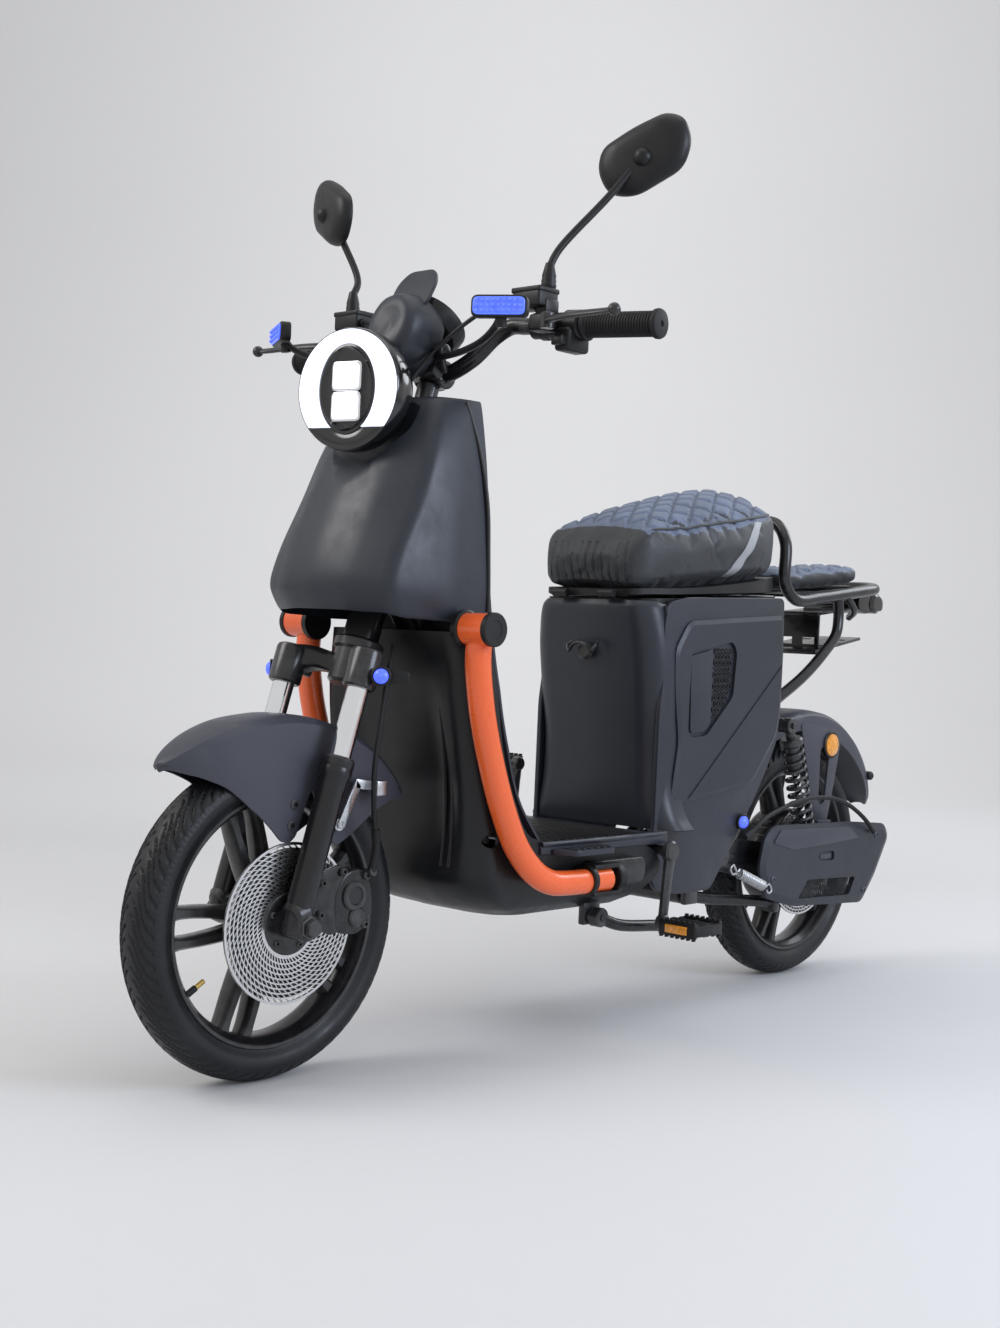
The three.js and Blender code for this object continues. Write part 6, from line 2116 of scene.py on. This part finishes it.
def build_frame_tubes():
    """The frame's tubes, gussets and lugs as round welded steel."""
    look = finishes()
    bm = shape()
    tube(
        bm,
        [
            (0, 190, 625), (0, 230, 575), (0, 239, 480), (0, 254, 400), (0, 285, 300), (0, 336, 246),
            (0, 400, 240)
        ],
        16, 24, 50
    )
    for side in (1, -1):
        tube(
            bm,
            sided(
                [
                    (0, 392, 240), (60, 400, 240), (92, 450, 240), (92, 840, 240), (92, 915, 330),
                    (92, 930, 450), (92, 930, 600)
                ],
                side
            ),
            12, 20, 70
        )
        tube(bm, sided([(92, 930, 590), (92, 800, 606), (85, 668, 600)], side), 11, 20, 16)
        rod(bm, (92 * side, 925, 520), (58 * side, 1040, 447), 11, steps=24)
        rod(bm, (56 * side, 1045, 440), (76 * side, 1045, 440), 12, steps=28)
        rod(bm, (56 * side, 1045, 440), (96 * side, 1045, 440), 5, steps=16)
        rod(bm, (77 * side, 860, 235), (92 * side, 860, 235), 20, steps=36, edge=2)
        low, high = sorted((68 * side, 78 * side))
        box(bm, (low, 784, 160), (high, 816, 232), 2)
        rod(bm, (68 * side, 800, 232), (92 * side, 800, 240), 10, steps=20)
        guard_lug = rounded([(0, 448, 222), (0, 448, 262), (0, 560, 262), (0, 566, 246), (0, 560, 226)], 8, 4)
        low, high = sorted((147 * side, 166 * side))
        plate(bm, [(p[1], p[2]) for p in guard_lug], low, high, 1.6, 3)
    rod(bm, (-92, 672, 600), (92, 672, 600), 10, steps=20)
    rod(bm, (-92, 930, 590), (92, 930, 590), 10, steps=20)
    rod(bm, (-90, 860, 235), (90, 860, 235), 8, steps=24)
    rod(bm, (-70, 800, 172), (70, 800, 172), 6, steps=20)
    rod(bm, (-92, 630, 240), (92, 630, 240), 9, steps=20)
    lathe(bm, (-60, 630, 264), (60, 630, 264), [(0, 8.4), (0, 13), (120, 13), (120, 8.4)], 32, closed=True)
    lathe(
        bm, from_axis(0, 0, 14), from_axis(0, 0, 262),
        [
            (0, 15.7), (0, 25), (4, 26), (12, 26), (14, 24), (234, 24), (236, 26), (246, 26), (248, 25),
            (248, 15.7)
        ],
        48, closed=True
    )
    box(bm, (96, 502, 160), (107, 538, 240), 2)
    rod(bm, (100, 520, 172), (130, 520, 172), 5, steps=20)
    finished("welded_frame", bm, "chassis", "black_metal", look["metal"], hides=("frame",))
    bm = shape()
    box(bm, (-68, 690, 300), (68, 880, 575), 6, 4)
    for z in (340, 535):
        box(bm, (-69, 688.8, z - 8), (69, 881.2, z + 8), 1)
    finished("battery_case", bm, "chassis", "black_plastic", look["plastic"], hides=("battery",))


# ---- stage ----
def build_stage(looks):
    """A pale floor and backdrop, soft lights and the camera."""
    scene = bpy.context.scene
    floor_mesh = bpy.data.meshes.new("floor")
    bm = shape()
    rows = []
    for k in range(40):
        a = math.radians(90 * max(0, min(1, (k - 8) / 20)))
        if k < 9:
            y, z = -4.0 + k, 0.0
        elif k < 29:
            y, z = 4.0 + 3 * math.sin(a), 3 - 3 * math.cos(a)
        else:
            y, z = 7.0, 3 + (k - 28) * 0.7
        rows.append((y, z))
    turn = Matrix.Rotation(math.radians(41.7), 3, "Z")
    verts = [bm.verts.new(turn @ Vector((-9, y, z))) for y, z in rows]
    edges = [bm.edges.new(pair) for pair in zip(verts, verts[1:])]
    grown = bmesh.ops.extrude_edge_only(bm, edges=edges)["geom"]
    bmesh.ops.translate(
        bm, verts=[g for g in grown if isinstance(g, bmesh.types.BMVert)], vec=turn @ Vector((18, 0, 0))
    )
    bmesh.ops.recalc_face_normals(bm, faces=bm.faces)
    bm.to_mesh(floor_mesh)
    bm.free()
    floor_mesh.shade_smooth()
    floor = bpy.data.objects.new("floor", floor_mesh)
    scene.collection.objects.link(floor)
    floor_mesh.materials.append(surface("Pale floor", tuple(looks.floor_colour), 0.75, grain=None, patch=(0.6, 0.99, 1.01)))
    world = bpy.data.worlds.new("studio")
    scene.world = world
    world.use_nodes = True
    world.node_tree.nodes["Background"].inputs["Color"].default_value = (1, 1, 1, 1)
    world.node_tree.nodes["Background"].inputs["Strength"].default_value = 0.72
    for name, place, size, power, colour in (
        ("key_light", (-1.6, -2.6, 2.8), 1.8, 46, (1, 0.98, 0.96)),
        ("side_light", (3.0, 0.6, 1.7), 1.6, 54, (0.72, 0.82, 1)),
        ("rear_light", (0.6, 3.2, 2.6), 2.0, 34, (0.9, 0.94, 1)),
        ("top_light", (0.2, -0.1, 3.4), 2.6, 14, (1, 1, 1))
    ):
        data = bpy.data.lights.new(name, "AREA")
        data.shape = "DISK"
        data.size = size
        data.energy = power
        data.color = colour
        lamp = bpy.data.objects.new(name, data)
        lamp.location = place
        lamp.visible_camera = False
        lamp.rotation_euler = (Vector((0, 0, 0.5)) - Vector(place)).to_track_quat("-Z", "Y").to_euler()
        scene.collection.objects.link(lamp)
    data = bpy.data.lights.new("backdrop_light", "AREA")
    data.shape = "DISK"
    data.size = 3
    data.energy = 80
    lamp = bpy.data.objects.new("backdrop_light", data)
    lamp.location = turn @ Vector((0, 3, 3.6))
    lamp.visible_camera = False
    lamp.rotation_euler = (turn @ Vector((0, 4, -1.4))).to_track_quat("-Z", "Y").to_euler()
    scene.collection.objects.link(lamp)
    data = bpy.data.cameras.new("camera")
    camera = bpy.data.objects.new("camera", data)
    azimuth, tilt, roll = math.radians(41.69), math.radians(1.6), math.radians(2.51)
    back = Vector((math.sin(azimuth) * math.cos(tilt), -math.cos(azimuth) * math.cos(tilt), math.sin(tilt)))
    right = (-back).cross(Vector((0, 0, 1))).normalized()
    up = right.cross(-back)
    turned_right = right * math.cos(roll) + up * math.sin(roll)
    turned_up = up * math.cos(roll) - right * math.sin(roll)
    spin = Matrix((turned_right, turned_up, back)).transposed().to_4x4()
    camera.matrix_world = Matrix.Translation(at((1678.99, -1394.91, 572.28))) @ spin
    data.sensor_width = 36
    data.lens = 1724.67 / 1328 * 36
    data.shift_x = -32.76 / 1328
    data.shift_y = 19.45 / 1328
    data.clip_end = 60
    scene.collection.objects.link(camera)
    scene.camera = camera
    scene.view_settings.view_transform = "Standard"


# ---- properties ----
class SCOOTER_PG_looks(bpy.types.PropertyGroup):
    """Colours and light strengths."""

    shell_colour: bpy.props.FloatVectorProperty(
        name="Shell colour", description="Colour of the matt body panels", subtype="COLOR", size=3, min=0,
        max=1, default=(0.021, 0.024, 0.034)
    )
    guard_colour: bpy.props.FloatVectorProperty(
        name="Guard colour", description="Colour of the guard tubes", subtype="COLOR", size=3, min=0, max=1,
        default=(0.83, 0.125, 0.025)
    )
    seat_colour: bpy.props.FloatVectorProperty(
        name="Seat colour", description="Colour of the seat's vinyl sides", subtype="COLOR", size=3, min=0,
        max=1, default=(0.020, 0.023, 0.027)
    )
    # Painted sky reflection: the bluish colour given to the upward faces of the seat top and pillion pad.
    seat_top_painted_sky_colour: bpy.props.FloatVectorProperty(
        name="Seat top painted sky reflection colour", description="Colour of the quilted seat top", subtype="COLOR", size=3, min=0,
        max=1, default=(0.085, 0.115, 0.19)
    )
    floor_colour: bpy.props.FloatVectorProperty(
        name="Floor colour", description="Colour of the studio floor", subtype="COLOR", size=3, min=0, max=1,
        default=(0.62, 0.62, 0.63)
    )
    lamp_strength: bpy.props.FloatProperty(
        name="Headlamp strength", description="Brightness of the headlamp's light guide", min=0, default=0.95
    )
    marker_strength: bpy.props.FloatProperty(
        name="Marker strength", description="Brightness of the blue lights", min=0, default=1.0
    )


class SCOOTER_PG_sizes(bpy.types.PropertyGroup):
    """Sizes of the repeated details."""

    sipe_count: bpy.props.IntProperty(
        name="Tread sipes", description="Sipes round each side of a tyre", min=20, max=140, default=66
    )
    quilt_pitch: bpy.props.FloatProperty(
        name="Quilt pitch", description="Spacing of the lozenges sewn in the seat's top", unit="LENGTH",
        min=0.01, max=0.1, default=0.034
    )


# ---- operators ----
class SCOOTER_OT_stage(bpy.types.Operator):
    """Set out the floor, the lights and the camera"""

    bl_idname = "scooter.stage"
    bl_label = "Stage"

    def execute(self, context):
        build_stage(context.scene.scooter_looks)
        return {"FINISHED"}


class SCOOTER_OT_tyres(bpy.types.Operator):
    """Spin both tyres and press their tread"""

    bl_idname = "scooter.tyres"
    bl_label = "Tyres"

    def execute(self, context):
        build_tyres(context.scene.scooter_sizes)
        return {"FINISHED"}


class SCOOTER_OT_wheels(bpy.types.Operator):
    """Cast the wheels and drill the brake discs"""

    bl_idname = "scooter.wheels"
    bl_label = "Wheels and discs"

    def execute(self, context):
        build_wheels()
        build_discs()
        return {"FINISHED"}


class SCOOTER_OT_fork(bpy.types.Operator):
    """Build the fork, its clamp, axle and brake caliper"""

    bl_idname = "scooter.fork"
    bl_label = "Fork"

    def execute(self, context):
        build_fork()
        return {"FINISHED"}


class SCOOTER_OT_fenders(bpy.types.Operator):
    """Shape the front and rear mudguards"""

    bl_idname = "scooter.fenders"
    bl_label = "Mudguards"

    def execute(self, context):
        build_front_fender()
        build_rear_fender()
        return {"FINISHED"}


class SCOOTER_OT_guards(bpy.types.Operator):
    """Bend the orange guard tubes"""

    bl_idname = "scooter.guards"
    bl_label = "Guard tubes"

    def execute(self, context):
        build_guards()
        return {"FINISHED"}


class SCOOTER_OT_front_shell(bpy.types.Operator):
    """Mould the headstock cover, lower cowl and leg shield"""

    bl_idname = "scooter.front_shell"
    bl_label = "Front shell"

    def execute(self, context):
        build_front_cover()
        build_lower_cowl()
        build_leg_shield()
        return {"FINISHED"}


class SCOOTER_OT_floor(bpy.types.Operator):
    """Lay the footboard with its ribs and side treads"""

    bl_idname = "scooter.floor"
    bl_label = "Footboard"

    def execute(self, context):
        build_floor()
        return {"FINISHED"}


class SCOOTER_OT_tower(bpy.types.Operator):
    """Mould the seat tower's front and side panels"""

    bl_idname = "scooter.tower"
    bl_label = "Seat tower"

    def execute(self, context):
        build_tower()
        build_side_panels()
        return {"FINISHED"}


class SCOOTER_OT_seat(bpy.types.Operator):
    """Pad, quilt and pipe the seat on its pan"""

    bl_idname = "scooter.seat"
    bl_label = "Seat"

    def execute(self, context):
        build_seat_base()
        build_seat(context.scene.scooter_sizes)
        return {"FINISHED"}


class SCOOTER_OT_rack(bpy.types.Operator):
    """Bend the rack, pad it and hang the tail lamp and plate holder"""

    bl_idname = "scooter.rack"
    bl_label = "Rack"

    def execute(self, context):
        build_rack(context.scene.scooter_sizes)
        return {"FINISHED"}


class SCOOTER_OT_frame_tubes(bpy.types.Operator):
    """Weld the frame and seat the battery in it"""

    bl_idname = "scooter.frame_tubes"
    bl_label = "Frame"

    def execute(self, context):
        build_frame_tubes()
        return {"FINISHED"}


class SCOOTER_OT_swingarm(bpy.types.Operator):
    """Build the swingarm, its drive cover and the shocks"""

    bl_idname = "scooter.swingarm"
    bl_label = "Rear suspension"

    def execute(self, context):
        build_swingarm()
        build_shocks()
        return {"FINISHED"}


class SCOOTER_OT_cables(bpy.types.Operator):
    """Route the brake hose and motor cable and hook the stand spring"""

    bl_idname = "scooter.cables"
    bl_label = "Hose, cable and spring"

    def execute(self, context):
        build_cables()
        return {"FINISHED"}


class SCOOTER_OT_handlebar(bpy.types.Operator):
    """Bend the handlebar and fit its grips, levers and switches"""

    bl_idname = "scooter.handlebar"
    bl_label = "Handlebar"

    def execute(self, context):
        build_handlebar()
        build_instrument()
        return {"FINISHED"}


class SCOOTER_OT_mirrors(bpy.types.Operator):
    """Bend the mirror stalks and fit their shells and glass"""

    bl_idname = "scooter.mirrors"
    bl_label = "Mirrors"

    def execute(self, context):
        build_mirrors()
        return {"FINISHED"}


class SCOOTER_OT_lamps(bpy.types.Operator):
    """Fit the headlamp, the indicators and the blue marker lamps"""

    bl_idname = "scooter.lamps"
    bl_label = "Lamps"

    def execute(self, context):
        build_headlamp()
        build_indicators()
        build_marker_lamps()
        return {"FINISHED"}


class SCOOTER_OT_pedals(bpy.types.Operator):
    """Forge the cranks and cage the pedals"""

    bl_idname = "scooter.pedals"
    bl_label = "Pedals"

    def execute(self, context):
        build_pedals()
        return {"FINISHED"}


class SCOOTER_OT_stands(bpy.types.Operator):
    """Bend the side stand and the centre stand"""

    bl_idname = "scooter.stands"
    bl_label = "Stands"

    def execute(self, context):
        build_stands()
        return {"FINISHED"}


OPERATORS = (
    SCOOTER_OT_stage, SCOOTER_OT_tyres, SCOOTER_OT_wheels, SCOOTER_OT_fork, SCOOTER_OT_fenders,
    SCOOTER_OT_guards, SCOOTER_OT_front_shell, SCOOTER_OT_floor, SCOOTER_OT_tower, SCOOTER_OT_seat,
    SCOOTER_OT_rack, SCOOTER_OT_frame_tubes, SCOOTER_OT_swingarm, SCOOTER_OT_cables, SCOOTER_OT_handlebar,
    SCOOTER_OT_mirrors, SCOOTER_OT_lamps, SCOOTER_OT_pedals, SCOOTER_OT_stands
)


class SCOOTER_PT_build(bpy.types.Panel):
    """The scooter's pieces, in building order"""

    bl_idname = "SCOOTER_PT_build"
    bl_label = "Scooter"
    bl_space_type = "VIEW_3D"
    bl_region_type = "UI"
    bl_category = "Scooter"

    def draw(self, context):
        layout = self.layout
        for group_name in ("scooter_looks", "scooter_sizes"):
            settings = getattr(context.scene, group_name)
            for key in settings.__annotations__:
                layout.prop(settings, key)
        for operator in OPERATORS:
            layout.operator(operator.bl_idname)


CLASSES = (SCOOTER_PG_looks, SCOOTER_PG_sizes, *OPERATORS, SCOOTER_PT_build)


def register():
    for cls in CLASSES:
        bpy.utils.register_class(cls)
    bpy.types.Scene.scooter_looks = bpy.props.PointerProperty(type=SCOOTER_PG_looks)
    bpy.types.Scene.scooter_sizes = bpy.props.PointerProperty(type=SCOOTER_PG_sizes)


def unregister():
    del bpy.types.Scene.scooter_sizes
    del bpy.types.Scene.scooter_looks
    for cls in reversed(CLASSES):
        bpy.utils.unregister_class(cls)


def main():
    register()
    for operator in OPERATORS:
        step = getattr(bpy.ops.scooter, operator.bl_idname.split(".")[1])
        if step() != {"FINISHED"}:
            raise RuntimeError(operator.bl_label + " was not finished")


if __name__ == "__main__":
    main()
